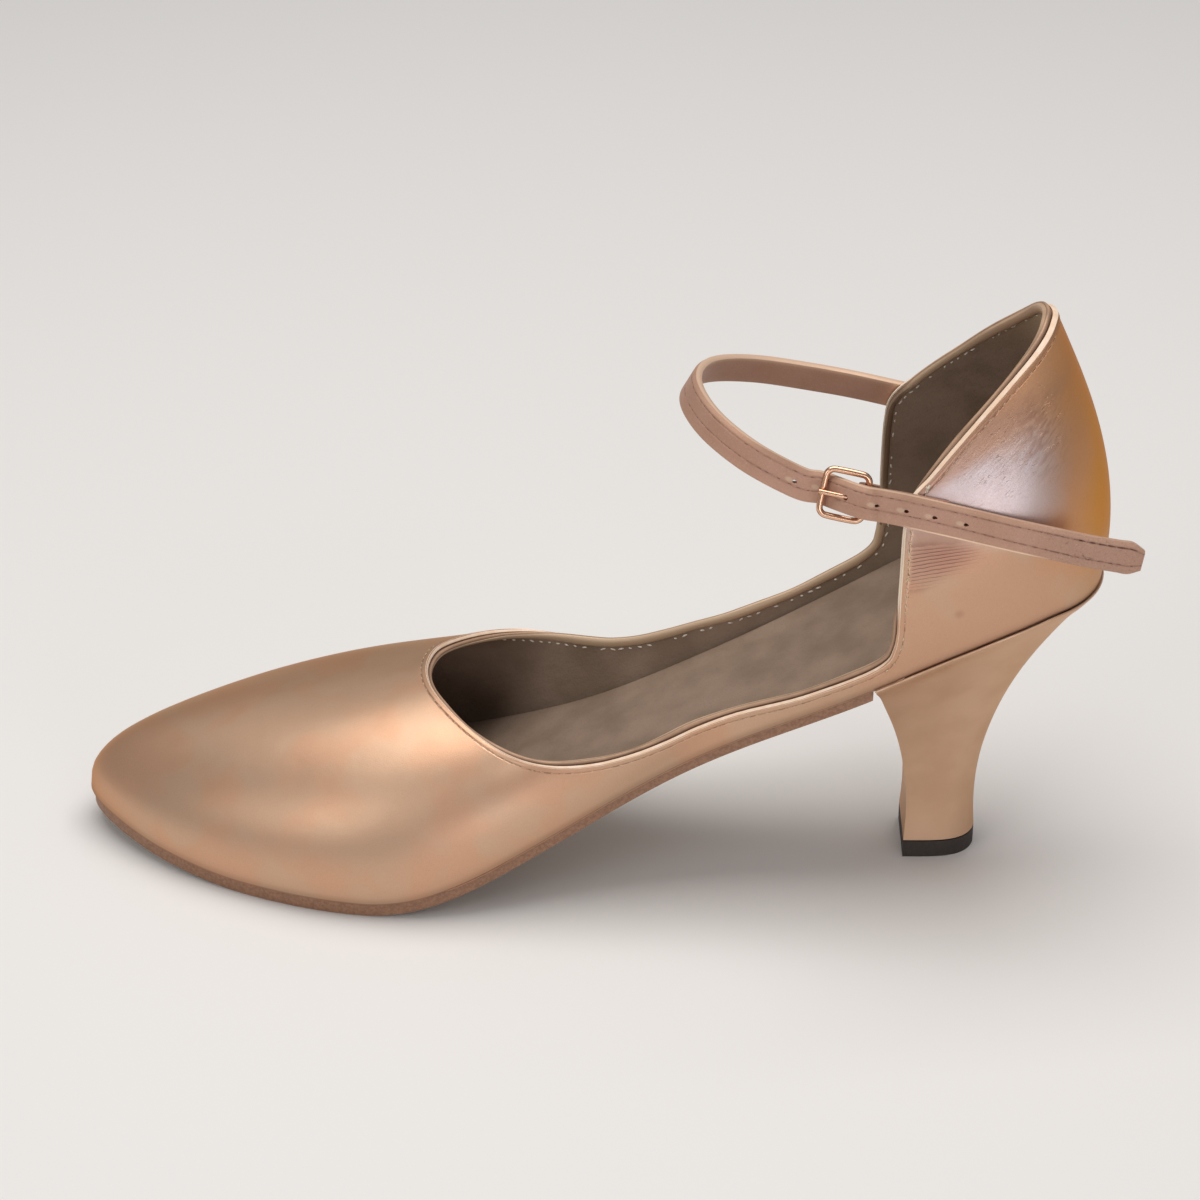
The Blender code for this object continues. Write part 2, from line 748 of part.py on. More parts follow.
def cut(target, cutter):
    """Take the cutter away from the target."""
    cutter.hide_render = True
    cutter.display_type = "WIRE"
    modifier = target.modifiers.new(cutter.name, "BOOLEAN")
    modifier.operation = "DIFFERENCE"
    modifier.object = cutter


def make_strap():
    """One strap from the loose end through the buckle to the inner quarter."""
    made = band("strap", strap_route(), STRAP_WIDTH, STRAP_THICKNESS, STRAP_STEPS, tip=0.35)
    cut(made, rod("prong_way", prong_points(), PRONG_RADIUS + GAP))
    return made


def main():
    for old in list(bpy.data.objects):
        bpy.data.objects.remove(old)
    make_upper()
    make_insole()
    make_outsole()
    make_heel()
    make_top_piece()
    make_strap()
    make_buckle_tab()
    make_buckle_frame()
    make_buckle_prong()


main()
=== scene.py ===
"""Looks of a closed-toe ballroom dance shoe in rose-gold leather, left foot.

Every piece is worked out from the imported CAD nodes, in metres: +X to the toe, +Y to the outer
side, +Z up. Small sizes are written in millimetres and turned into metres by MM.
"""
import json
import math
import random

import bmesh
import bpy
import numpy as np
from mathutils import Matrix, Vector
from mathutils.bvhtree import BVHTree
from mathutils.kdtree import KDTree

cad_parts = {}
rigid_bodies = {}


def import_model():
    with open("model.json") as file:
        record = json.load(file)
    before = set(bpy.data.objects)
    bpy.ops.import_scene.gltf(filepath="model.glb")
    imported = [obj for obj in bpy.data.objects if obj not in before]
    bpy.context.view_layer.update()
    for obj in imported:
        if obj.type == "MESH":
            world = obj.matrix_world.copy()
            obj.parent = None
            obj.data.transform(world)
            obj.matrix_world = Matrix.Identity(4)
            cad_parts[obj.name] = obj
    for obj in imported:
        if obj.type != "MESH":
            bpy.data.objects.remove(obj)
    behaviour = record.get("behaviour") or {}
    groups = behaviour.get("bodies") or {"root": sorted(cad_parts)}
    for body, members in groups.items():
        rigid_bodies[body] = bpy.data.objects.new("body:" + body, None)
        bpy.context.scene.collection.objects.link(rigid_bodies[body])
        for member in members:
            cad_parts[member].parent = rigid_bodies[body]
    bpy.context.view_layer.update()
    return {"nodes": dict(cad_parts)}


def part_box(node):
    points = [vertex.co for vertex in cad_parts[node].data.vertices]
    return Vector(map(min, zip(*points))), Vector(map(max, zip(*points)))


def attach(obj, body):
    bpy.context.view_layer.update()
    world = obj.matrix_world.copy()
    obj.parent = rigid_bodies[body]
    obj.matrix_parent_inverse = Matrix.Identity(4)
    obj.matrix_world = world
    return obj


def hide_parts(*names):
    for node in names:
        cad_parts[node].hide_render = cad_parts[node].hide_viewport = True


for old in list(bpy.data.objects):
    bpy.data.objects.remove(old)
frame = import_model()

MM = 0.001

# The rim of the wall: a pale cut edge, a dark groove and the roll that binds the lining.
LIP_WIDTH = 0.8
LIP_SLOPE_BACK = 0.75
LIP_SLOPE_FRONT = 0.35
LIP_PROUD = 0.17
GROOVE_WIDTH = 0.25
BINDING_WIDTH = 1.4
BINDING_DROP = 1.35
BINDING_RISE = 0.7
TRIM = 0.35
LEATHER = 1.2
FOLD_RAISE = 0.2
STITCH_PITCH = 2.1
TORN_ENDS = 4
TORN_ABOVE = 96.0
OUTER_ROW_BACK = 2.2
OUTER_ROW_FRONT = 1.55
INNER_ROW = 1.85
COLLAR_PEAK = (112.0, 124.0)

# Where the slanting rim turns into the quarter's upright front edge, and where that edge lies.
SLANT_ENDS = (5.0, 12.5)
EDGE_STARTS = (8.0, 12.0)
EDGE_ENDS = (17.0, 21.0)
EDGE_FOOT = (70.0, 78.0)

# The strap, measured from its middle line.
STRAP_HALF = 3.5
STRAP_EDGE = 0.85
UPPER_SEAM = 2.1
LOWER_SEAM_BACK = -1.6
LOWER_SEAM_FRONT = -0.9
HOLE_PITCH = 6.6
HOLE_RADIUS = 0.62
HOLE_SQUEEZE = 0.55
HOLE_COUNT = 7
HOLE_IN_USE = 4
SHARP_CORNER = math.radians(60)
SQUARE_TURN = math.radians(65)
OUTER_FACE = 57
SETTLED_GAP = 0.12
SETTLED_MOST = 1.1
SETTLED_DROP = 0.5
SETTLING_REACH = 22

# Fine creases behind the quarter's front edge on the outer side, in millimetres.
CREASE_FRONT = 11.6
CREASES = [
    # front_z slope length depth
    (89.7,   0.12,   9.0,  0.04),
    (88.8,   0.15,  13.0,  0.06),
    (87.9,   0.18,  16.0,  0.07),
    (87.0,   0.20,  18.0,  0.08),
    (86.2,   0.215, 18.5,  0.08),
    (85.3,   0.225, 18.5,  0.08),
    (84.5,   0.23,  18.0,  0.08),
    (83.6,   0.23,  16.0,  0.08),
    (82.8,   0.22,  14.0,  0.07),
    (82.0,   0.21,  12.0,  0.06),
    (81.2,   0.20,  10.0,  0.05),
    (80.5,   0.19,   7.5,  0.04),
    (79.9,   0.18,   5.0,  0.03),
]
CREASE_HALF = 0.24


def srgb(red, green, blue):
    """A colour from its everyday 0 to 255 values to the linear ones that shaders use."""
    shares = [value / 255 for value in (red, green, blue)]
    return tuple(s / 12.92 if s <= 0.04045 else ((s + 0.055) / 1.055) ** 2.4 for s in shares)


# ---------------------------------------------------------------- working by hand

def only(made):
    """Makes one object the active and only selected one."""
    bpy.ops.object.select_all(action="DESELECT")
    bpy.context.view_layer.objects.active = made
    made.select_set(True)
    return made


def edit(made, select="SELECT"):
    only(made)
    bpy.ops.object.mode_set(mode="EDIT")
    bpy.ops.mesh.select_all(action=select)


def leave():
    bpy.ops.object.mode_set(mode="OBJECT")


def pick(made, test, kind="FACE"):
    """Selects the faces or vertices that pass a test, and opens the object for editing."""
    edit(made, "DESELECT")
    bpy.ops.mesh.select_mode(type=kind)
    leave()
    parts = made.data.polygons if kind == "FACE" else made.data.vertices
    for part in parts:
        part.select = bool(test(part))
    bpy.ops.object.mode_set(mode="EDIT")


def modify(made, kind, **settings):
    """Adds one modifier and applies it."""
    only(made)
    modifier = made.modifiers.new(kind.lower(), kind)
    for setting, value in settings.items():
        setattr(modifier, setting, value)
    bpy.ops.object.modifier_apply(modifier=modifier.name)


def added(primitive, **sizes):
    """Adds one primitive with nothing else selected."""
    bpy.ops.object.select_all(action="DESELECT")
    primitive(**sizes)
    return bpy.context.object


def copy_of(node, name):
    """A CAD node's own shape as one connected mesh, to be worked on."""
    made = bpy.data.objects.new(name, frame["nodes"][node].data.copy())
    bpy.context.collection.objects.link(made)
    made.data.materials.clear()
    edit(made)
    bpy.ops.mesh.remove_doubles(threshold=0.01 * MM)
    leave()
    return made


def quads(made):
    edit(made)
    bpy.ops.mesh.tris_convert_to_quads(
        face_threshold=math.pi, shape_threshold=math.pi, topology_influence=1.0)
    leave()


def smooth(made, angle=40.0):
    only(made)
    bpy.ops.object.shade_smooth_by_angle(angle=math.radians(angle))


def outwards(made):
    edit(made)
    bpy.ops.mesh.normals_make_consistent(inside=False)
    leave()


def loft(name, lines, close_rings=True):
    """A grid primitive laid over lines of points, closed from the last line to the first."""
    rings = np.stack([*lines, lines[0]], axis=1)
    if close_rings:
        rings = np.concatenate([rings, rings[:1]], axis=0)
    rows, columns = rings.shape[:2]
    made = added(
        bpy.ops.mesh.primitive_grid_add, x_subdivisions=columns - 1, y_subdivisions=rows - 1, size=1)
    made.name = name
    made.data.name = name
    made.data.vertices.foreach_set("co", rings.reshape(-1).astype(np.float32))
    edit(made)
    bpy.ops.mesh.remove_doubles(threshold=0.0005 * MM)
    leave()
    if not close_rings:
        edit(made, "DESELECT")
        bpy.ops.mesh.select_mode(type="EDGE")
        bpy.ops.mesh.select_non_manifold()
        bpy.ops.mesh.fill_holes(sides=0)
        leave()
    outwards(made)
    smooth(made)
    return made


def joined(name, parts):
    bpy.ops.object.select_all(action="DESELECT")
    for part in parts:
        part.select_set(True)
    bpy.context.view_layer.objects.active = parts[0]
    bpy.ops.object.join()
    parts[0].name = name
    parts[0].data.name = name
    return parts[0]


def finished(made, material, slot, *stands_for):
    """Gives a piece its finish and its place in the shoe."""
    made.data.materials.clear()
    made.data.materials.append(material)
    if stands_for:
        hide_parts(*stands_for)
    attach(made, "root")
    return made


# ---------------------------------------------------------------- rows of the CAD's own points

def read(node):
    """A CAD node's shape as one connected bmesh, and its points."""
    made = copy_of(node, "read")
    bm = bmesh.new()
    bm.from_mesh(made.data)
    bm.verts.ensure_lookup_table()
    bpy.data.objects.remove(made)
    return bm, np.array([vertex.co for vertex in bm.verts])


def links(edges):
    """Which vertices these edges join to which."""
    near = {}
    for edge in edges:
        first, second = (vertex.index for vertex in edge.verts)
        near.setdefault(first, set()).add(second)
        near.setdefault(second, set()).add(first)
    return near


def in_order(members, near):
    """The members of a closed row of vertices, each next to the one before."""
    members = set(members)
    order = [min(members)]
    before = None
    while len(order) < len(members):
        here = order[-1]
        after = [v for v in near[here] if v in members and v != before and v not in order[-2:]]
        before = here
        order.append(after[0])
    return order


def lined_up(row, last, where):
    """Turns a closed row so that its points stand over those of the last row."""
    runs = [run[shift:] + run[:shift] for run in (row, row[::-1]) for shift in range(len(row))]
    return min(runs, key=lambda run: ((where[run] - where[last])**2).sum())


def rows_from(first, near, blocked, where):
    """All rows of the wall: up its outside, over its top and down its inside."""
    half = len(where) // len(first) // 2
    second = {n for v in first for n in near[v]} - set(first) - set(blocked)
    rows = [first, lined_up(in_order(second, near), first, where)]
    seen = set(first) | second
    while len(rows) < 2 * half:
        last = [where[row] for row in rows]
        if len(rows) == half:
            guess = last[-1]
        elif len(rows) == half + 1:
            guess = last[-1] + last[-3] - last[-2]
        else:
            guess = 2 * last[-1] - last[-2]
        ring = {n for v in rows[-1] for n in near[v]}
        ring = sorted((ring | {n for v in ring for n in near[v]}) - seen)
        away = np.linalg.norm(guess[:, None] - where[ring][None], axis=-1)
        rows.append([ring[k] for k in away.argmin(axis=1)])
        seen |= set(rows[-1])
    return rows


def border_loops(bm, test):
    """The two largest closed edges round the faces that pass a test, the wider one first."""
    near = links(edge for edge in bm.edges if sum(test(face) for face in edge.link_faces) == 1)
    loops, left = [], set(near)
    while left:
        members, open_ends = set(), [min(left)]
        while open_ends:
            vertex = open_ends.pop()
            if vertex not in members:
                members.add(vertex)
                open_ends.extend(near[vertex])
        left -= members
        loops.append(members)
    largest = sorted(loops, key=len)[-2:]
    largest.sort(key=lambda loop: max(bm.verts[v].co.x for v in loop), reverse=True)
    return [in_order(loop, near) for loop in largest]


def from_middle_back(points):
    """Rows that start at the middle of the back and run over the outer side first."""
    back = points[-1]
    start = min(range(len(back)), key=lambda i: back[i][0] + 4 * abs(back[i][1]))
    points = np.roll(points, -start, axis=1)
    if points[-1][3][1] < 0:
        points = np.concatenate([points[:, :1], points[:, :0:-1]], axis=1)
    return points


def collar_eased(rows):
    """The same rows with the peak of the collar turned evenly."""
    share = np.interp(rows[..., 2:] / MM, COLLAR_PEAK, (0.0, 1.0))
    for _ in range(3):
        even = (np.roll(rows, 1, axis=1) + 2 * rows + np.roll(rows, -1, axis=1)) / 4
        rows = rows + (even - rows) * share
    return rows


def wall_rows():
    """The upper's outer and inner wall as rows of points from the feather edge up."""
    bm, where = read("upper")
    outer, inner = border_loops(bm, lambda face: face.normal.z < -0.7)
    points = where[rows_from(outer, links(bm.edges), inner, where)]
    bm.free()
    points = collar_eased(from_middle_back(points))
    half = len(points) // 2
    return points[:half], points[:half - 1:-1]


def direction(vectors):
    return vectors / np.linalg.norm(vectors, axis=-1, keepdims=True)


def distances(points):
    """How far each point of a line lies along it."""
    steps = np.linalg.norm(np.diff(points, axis=0), axis=-1)
    return np.concatenate([[0.0], np.cumsum(steps)])


class Skin:
    """A smooth surface through rows of points; `around` and `up` count ribs and rows."""

    def __init__(self, rows):
        below, above = 2 * rows[:1] - rows[1:2], 2 * rows[-1:] - rows[-2:-1]
        self.rows = np.concatenate([below, rows, above])
        self.ribs = rows.shape[1]
        self.top = len(rows) - 1.0

    @staticmethod
    def weights(t):
        """How much the four nearest points count in a smooth line between the middle two."""
        return np.stack([
            -0.5 * t + t**2 - 0.5 * t**3,
            1 - 2.5 * t**2 + 1.5 * t**3,
            0.5 * t + 2 * t**2 - 1.5 * t**3,
            -0.5 * t**2 + 0.5 * t**3,
        ])

    def at(self, around, up):
        around, up = np.broadcast_arrays(np.asarray(around, float), np.asarray(up, float))
        rib = np.floor(around).astype(int)
        row = np.clip(np.floor(up).astype(int), 0, int(self.top) - 1)
        across, over = self.weights(around - rib), self.weights(up - row)
        point = 0.0
        for i in range(4):
            for j in range(4):
                knot = self.rows[row + j, (rib + i - 1) % self.ribs]
                point = point + (across[i] * over[j])[..., None] * knot
        return point

    def facing(self, around, up, step=0.05):
        """The outward direction; the rows run over the outer side first."""
        ahead = self.at(np.add(around, step), up) - self.at(np.subtract(around, step), up)
        high, low = np.minimum(np.add(up, step), self.top), np.maximum(np.subtract(up, step), 0)
        upwards = self.at(around, high) - self.at(around, low)
        return direction(np.cross(upwards, ahead))

    def lengths(self, around):
        """Heights up each rib, as distances along the surface at even steps of `up`."""
        ups = np.linspace(0, self.top, 65)
        points = self.at(np.asarray(around)[:, None], ups[None, :])
        steps = np.linalg.norm(np.diff(points, axis=1), axis=-1)
        return ups, np.concatenate([np.zeros((len(points), 1)), np.cumsum(steps, axis=1)], axis=1)


outer_rows, inner_rows = wall_rows()
outer_skin = Skin(outer_rows)
inner_skin = Skin(inner_rows)


class Rim:
    """The topline, with the directions along it, inwards over the wall and off its edge."""

    def __init__(self, places):
        self.out = outer_skin.at(places, outer_skin.top)
        inside = inner_skin.at(places, inner_skin.top)
        self.along = direction(np.roll(self.out, -1, axis=0) - np.roll(self.out, 1, axis=0))
        inwards = inside - self.out
        inwards -= self.along * (inwards * self.along).sum(-1, keepdims=True)
        spread = len(places) // outer_skin.ribs
        inwards = direction(inwards)
        self.inwards = direction(sum(np.roll(inwards, k, axis=0) for k in range(-spread, spread + 1)))
        self.off = direction(np.cross(self.inwards, self.along))
        below = outer_skin.at(places, outer_skin.top - 0.3) - self.out
        self.off *= -np.sign((self.off * below).sum())

    def ring(self, inwards, off):
        """One line along the rim, at millimetres inwards of the outside and off the edge."""
        return self.out + (self.inwards * inwards + self.off * off) * MM

    def arc(self):
        return distances(np.concatenate([self.out, self.out[:1]]))


def between_ribs(times):
    """Places all round the wall, a number of them from each rib to the next."""
    return np.arange(outer_skin.ribs * times) / times


ribs_at = between_ribs(4)
rim = Rim(ribs_at)


# ---------------------------------------------------------------- finishes

class Value:
    """A shader value. Sums written on it in Python add Math nodes."""

    def __init__(self, finish, socket):
        self.finish = finish
        self.socket = socket

    def maths(self, operation, first, second=0.0, clamp=False):
        settings = {"operation": operation, "use_clamp": clamp}
        return self.finish.node("ShaderNodeMath", settings, {0: first, 1: second})

    def __add__(self, other):
        return self.maths("ADD", self, other)

    def __sub__(self, other):
        return self.maths("SUBTRACT", self, other)

    def __rsub__(self, other):
        return self.maths("SUBTRACT", other, self)

    def __mul__(self, other):
        return self.maths("MULTIPLY", self, other)

    __radd__ = __add__
    __rmul__ = __mul__

    def limited(self):
        """The same value, held between 0 and 1."""
        return self.maths("ADD", self, 0.0, clamp=True)

    def folded(self, size):
        """Goes up and down between 0 and a size."""
        return self.maths("PINGPONG", self, size)

    def step(self, low, high):
        """Goes softly from 0 at one value to 1 at another."""
        values = {"Value": self, "From Min": low, "From Max": high}
        return self.finish.node("ShaderNodeMapRange", {"interpolation_type": "SMOOTHSTEP"}, values)


class Finish:
    """A material: a Principled shader, its constants and what varies over the surface."""

    def __init__(self, name, colour, roughness, metallic=0.0, **constants):
        self.material = bpy.data.materials.new(name)
        self.material.use_nodes = True
        self.tree = self.material.node_tree
        self.shader = self.tree.nodes["Principled BSDF"]
        self.colour = colour
        self.shader.inputs["Base Color"].default_value = (*colour, 1)
        self.shader.inputs["Roughness"].default_value = roughness
        self.shader.inputs["Metallic"].default_value = metallic
        for socket, value in constants.items():
            self.shader.inputs[socket.replace("_", " ").title()].default_value = value

    def node(self, kind, settings=None, values=None, output=0):
        """Adds one node: its settings first, then the values or links of its sockets."""
        made = self.tree.nodes.new(kind)
        for setting, value in (settings or {}).items():
            setattr(made, setting, value)
        for key, value in (values or {}).items():
            if isinstance(value, Value):
                self.tree.links.new(value.socket, made.inputs[key])
            else:
                made.inputs[key].default_value = value
        return Value(self, made.outputs[output])

    def place(self):
        return self.node("ShaderNodeTexCoord", output="Object")

    def painted(self, name):
        """A value that the piece carries on its points."""
        return self.node("ShaderNodeAttribute", {"attribute_name": name}, output="Fac")

    def drawn_out(self, turn, times):
        """Object coordinates for a pattern drawn out along X and Y, then turned about Y."""
        values = {
            "Vector": self.place(), "Rotation": (0.0, math.radians(turn), 0.0),
            "Scale": (times, times, 1),
        }
        return self.node("ShaderNodeMapping", {"vector_type": "TEXTURE"}, values)

    def noise(self, size, detail=3.0, roughness=0.5, vector=None):
        """Noise with features of a size in millimetres."""
        values = {
            "Vector": vector or self.place(), "Scale": 1 / (size * MM),
            "Detail": detail, "Roughness": roughness,
        }
        return self.node("ShaderNodeTexNoise", None, values)

    def hairlines(self, size, turn, times, width):
        """Thin broken lines that run one way, where a drawn-out noise crosses its middle."""
        field = self.noise(size, 4.0, 0.6, self.drawn_out(turn, times)) - 0.5
        return field.maths("ABSOLUTE", field).step(width, 0.0)

    def near(self, centre, reach):
        """1 at a place given in millimetres, and softly 0 at its reach."""
        values = {0: self.place(), 1: tuple(c * MM for c in centre)}
        away = self.node("ShaderNodeVectorMath", {"operation": "DISTANCE"}, values, output="Value")
        return away.step(reach * MM, 0.0)

    def axis(self, letter):
        return self.node("ShaderNodeSeparateXYZ", None, {0: self.place()}, output=letter)

    def blend(self, share, first, second):
        """From the first colour to the second by a share."""
        first, second = (c if isinstance(c, Value) else (*c, 1) for c in (first, second))
        return self.node("ShaderNodeMix", {"data_type": "RGBA"}, {0: share, 6: first, 7: second}, 2)

    def mottled(self, pattern, first, second, low=0.3, high=0.7):
        """Goes from one colour to another over a pattern."""
        return self.blend(pattern.step(low, high), first, second)

    def tint(self, share, colour):
        """Lays a colour over what is there, by a share."""
        self.colour = self.blend(share, self.colour, colour)

    def feed(self, socket, value):
        self.tree.links.new(value.socket, self.shader.inputs[socket])

    def done(self, height=None):
        """Gives the material its colour and a relief of a height in millimetres."""
        self.feed("Base Color", self.colour)
        if height:
            values = {"Height": height, "Distance": MM, "Strength": 1.0}
            self.feed("Normal", self.node("ShaderNodeBump", None, values, output="Normal"))
        return self.material


def rose_gold_leather():
    """Coated metallic leather, rose on the flanks, with reflections painted into its colour: a lilac
    highlight, a warmer taupe towards the top, amber and gold round the back, and shade along the rim.
    """
    finish = Finish(
        "rose_gold_leather", srgb(208, 164, 142), 0.36, 0.75,
        coat_weight=0.05, coat_roughness=0.3, specular_tint=(*srgb(222, 176, 126), 1))
    lilac, taupe = srgb(216, 203, 204), srgb(238, 182, 138)
    amber, gold, rim_shade_brown = srgb(226, 160, 100), srgb(222, 158, 78), srgb(198, 154, 128)
    mottle = finish.noise(9.0, 4.0)
    patches = finish.noise(16.0, 2.0)
    height = finish.axis("Z") + (mottle - 0.5) * (6 * MM)
    behind = finish.axis("X") + (mottle - 0.5) * (5 * MM)
    finish.colour = finish.mottled(patches, srgb(210, 175, 147), srgb(213, 170, 140), 0.42, 0.58)
    outer_side = finish.axis("Y").step(-15 * MM, 1 * MM)
    # Painted highlight: lilac where the window is mirrored, mostly on the outer side. Painted reflection:
    # taupe towards the top.
    finish.tint(height.step(87 * MM, 98 * MM) * (0.3 + outer_side * 0.7), lilac)
    finish.tint(height.step(106 * MM, 120 * MM), taupe)
    # Painted reflections of warm surroundings round the back: amber, then gold.
    at_back = behind.step(-12 * MM, -24 * MM) * height.step(76 * MM, 95 * MM)
    finish.tint(at_back * (0.35 + outer_side * 0.5), amber)
    golden = behind.step(-23 * MM, -31 * MM) * height.step(71 * MM, 93 * MM)
    finish.tint(golden * (0.15 + outer_side * 0.8), gold)
    # Painted shade: brown along the rim, where the highlight does not reach.
    shade = finish.painted("rim_shade") * height.step(90 * MM, 97 * MM) * height.step(126 * MM, 114 * MM)
    finish.tint(shade * 0.75, rim_shade_brown)
    shaded = finish.near((6.0, 28.0, 93.0), 11.0)
    finish.tint((shaded * 1.5).limited() * 0.6, srgb(156, 116, 96))
    # Painted shade of a small dent low on the outer side.
    dimple_shade = finish.near((0.5, 29.0, 73.8), 1.7)
    finish.tint(dimple_shade * 0.35, srgb(160, 110, 86))
    creased = finish.painted("creased")
    fold = finish.painted("crease_count") + (finish.noise(1.6, 2.0) - 0.5) * 0.35
    crease_shade_line = fold.folded(0.5).step(0.13, 0.0) * creased * (0.6 + mottle * 0.8).limited()
    # Painted shade over the creased zone, and darker along each crease's valley.
    finish.tint(creased * 0.6, srgb(186, 138, 124))
    finish.tint(crease_shade_line * 0.6, srgb(104, 66, 62))
    finish.tint(finish.painted("fold_band") * 0.55, srgb(176, 134, 108))
    # Painted shade along the stitch groove, broken up by noise.
    groove_shade = finish.painted("groove") * (0.3 + finish.noise(1.3, 2.0).step(0.46, 0.58) * 0.7)
    finish.tint(groove_shade * 0.7, srgb(104, 68, 52))
    frayed = (finish.painted("frayed") + (finish.noise(0.9, 3.0, 0.6) - 0.5) * 1.8).step(0.45, 0.6)
    notch = finish.painted("frayed") * finish.noise(0.8, 1.0).step(0.6, 0.66)
    finish.tint(frayed * 0.85, srgb(228, 192, 162))
    # Painted shade in small dark notches among the frayed shreds.
    finish.tint(notch.step(0.2, 0.5) * 0.7, srgb(92, 58, 44))
    # Painted shade: darker towards the feather edge, where the leather tucks in over the heel.
    finish.tint(finish.painted("foot") * 0.8, srgb(96, 62, 42))
    zone = (finish.near((-6.0, 22.0, 108.0), 15.0) + finish.near((-14.0, 18.0, 115.0), 14.0)).limited()
    ridges = finish.noise(0.9, 2.0, 0.5, finish.drawn_out(48.0, 4.0))
    combed = finish.noise(0.4, 3.0, 0.6, finish.drawn_out(46.0, 7.0))
    few = finish.noise(3.0, 2.0).step(0.46, 0.6)
    steep = finish.noise(0.2, 1.0, 0.5, finish.drawn_out(44.0, 9.0)).step(0.36, 0.28)
    gentle = finish.noise(0.2, 1.0, 0.5, finish.drawn_out(20.0, 11.0)).step(0.355, 0.28)
    split = (steep + gentle).limited() * few * zone
    pulled = (finish.near((-14.0, 19.0, 108.0), 10.0) + finish.near((-15.0, 18.0, 116.0), 8.0)).limited()
    finish.tint(split * 0.6, srgb(96, 66, 62))
    finish.tint(ridges.step(0.42, 0.58) * pulled * 0.4, srgb(164, 116, 94))
    finish.tint(combed.step(0.4, 0.62) * zone * 0.2, srgb(176, 134, 118))
    grain = finish.noise(0.22, 2.0, 0.6)
    finish.tint(grain.step(0.4, 0.7) * 0.16, srgb(168, 128, 110))
    worn = finish.noise(5.0)
    finish.feed("Roughness", 0.33 + worn * 0.08 + grain * 0.08)
    combed = combed * zone * 0.05 + ridges * (0.04 + pulled * 0.16) * zone
    return finish.done(combed - split * 0.04 - crease_shade_line * 0.05 + grain * 0.02 + worn * 0.04)


def pale_edge():
    """The cut edge of the leather: dry, pale and a little uneven, with painted light down the quarter's
    front edge, where less light reaches it.
    """
    finish = Finish("pale_cut_edge", srgb(242, 214, 190), 0.5)
    fibre = finish.noise(2.4)
    finish.colour = finish.mottled(fibre, srgb(240, 208, 180), srgb(247, 224, 202), 0.35)
    # Painted light down the quarter's front edge.
    finish.tint(finish.painted("front_lip_light"), srgb(255, 236, 211))
    return finish.done(fibre * 0.03)


def two_tone(name, roughness, metallic, size, bump, first, second):
    """A plain finish that clouds softly from one colour to another."""
    finish = Finish(name, first, roughness, metallic)
    cloud = finish.noise(size)
    finish.colour = finish.mottled(cloud, first, second)
    return finish.done(cloud * bump)


def binding_leather():
    finish = Finish("taupe_binding", srgb(158, 128, 104), 0.46, 0.2)
    cloud = finish.noise(4.0)
    finish.colour = finish.mottled(cloud, srgb(172, 138, 112), srgb(190, 154, 126))
    # Painted light on the roll's crest.
    finish.tint(finish.painted("crest"), srgb(206, 178, 148))
    # Painted shade where the roll meets the lip and along its fold line.
    finish.tint(finish.painted("tucked") * 0.85, srgb(86, 58, 42))
    return finish.done(finish.noise(0.4, 2.0) * 0.03)


def lining_suede():
    finish = Finish("dark_lining", srgb(118, 99, 85), 0.92)
    cloud = finish.noise(14.0, 4.0)
    nap = finish.noise(0.5, 4.0, 0.65)
    finish.colour = finish.mottled(cloud, srgb(128, 108, 90), srgb(152, 130, 113))
    # Painted light: lighter towards the top of the inside, where more light reaches.
    finish.tint(finish.axis("Z").step(112 * MM, 130 * MM) * 0.75, srgb(184, 158, 128))
    finish.tint(nap.step(0.45, 0.8) * 0.3, srgb(100, 82, 68))
    rub = finish.noise(2.2, 3.0, 0.6, finish.drawn_out(30.0, 2.5))
    return finish.done(nap * 0.05 + rub * 0.16)


def strap_leather():
    """The strap's leather: worn pale by the prong, finely cracked and darker towards its loose end, with
    painted light on its edges and painted shade in its sewn channels and torn stitch holes.
    """
    finish = Finish("strap_leather", srgb(182, 142, 118), 0.5, 0.3)
    speckle = finish.noise(0.4, 5.0, 0.75)
    cloud = finish.noise(7.0)
    loose_end = finish.axis("X").step(-8 * MM, -24 * MM)
    finish.colour = finish.mottled(cloud, srgb(184, 142, 120), srgb(190, 148, 128))
    # Painted light on the rolled edges.
    finish.tint(finish.painted("bevel") * 0.35, srgb(200, 160, 132))
    finish.tint(loose_end * 0.5, srgb(196, 156, 136))
    finish.tint(speckle.step(0.54, 0.72) * (0.3 + loose_end * 0.25), srgb(124, 88, 74))
    finish.tint(speckle.step(0.46, 0.3) * (0.35 + loose_end * 0.2), srgb(220, 188, 164))
    wear = (finish.painted("wear") + (speckle - 0.5) * 0.9).step(0.25, 0.75)
    finish.tint(wear * 0.6, srgb(212, 186, 158))
    # Painted light along the edges: the floor's reflection on the lower one, a highlight on the top one.
    finish.tint(finish.painted("edge"), srgb(238, 206, 178))
    splits = finish.hairlines(2.2, -28.0, 2.0, 0.012) * finish.noise(3.4, 2.0).step(0.5, 0.62) * loose_end
    finish.tint(splits * 0.8, srgb(84, 56, 48))
    # Painted shade in the sewn channels, in broken dashes.
    dashes = finish.painted("groove") * (0.15 + finish.noise(1.5, 3.0).step(0.46, 0.58) * 0.85)
    finish.tint(dashes * (0.4 + loose_end * 0.3), srgb(108, 70, 58))
    # Painted shade in the torn stitch holes.
    finish.tint(finish.painted("torn") * 0.9, srgb(58, 38, 32))
    finish.feed("Roughness", 0.42 + speckle * 0.16)
    return finish.done(speckle * (0.06 + loose_end * 0.16) + cloud * 0.1 - splits * 0.08)


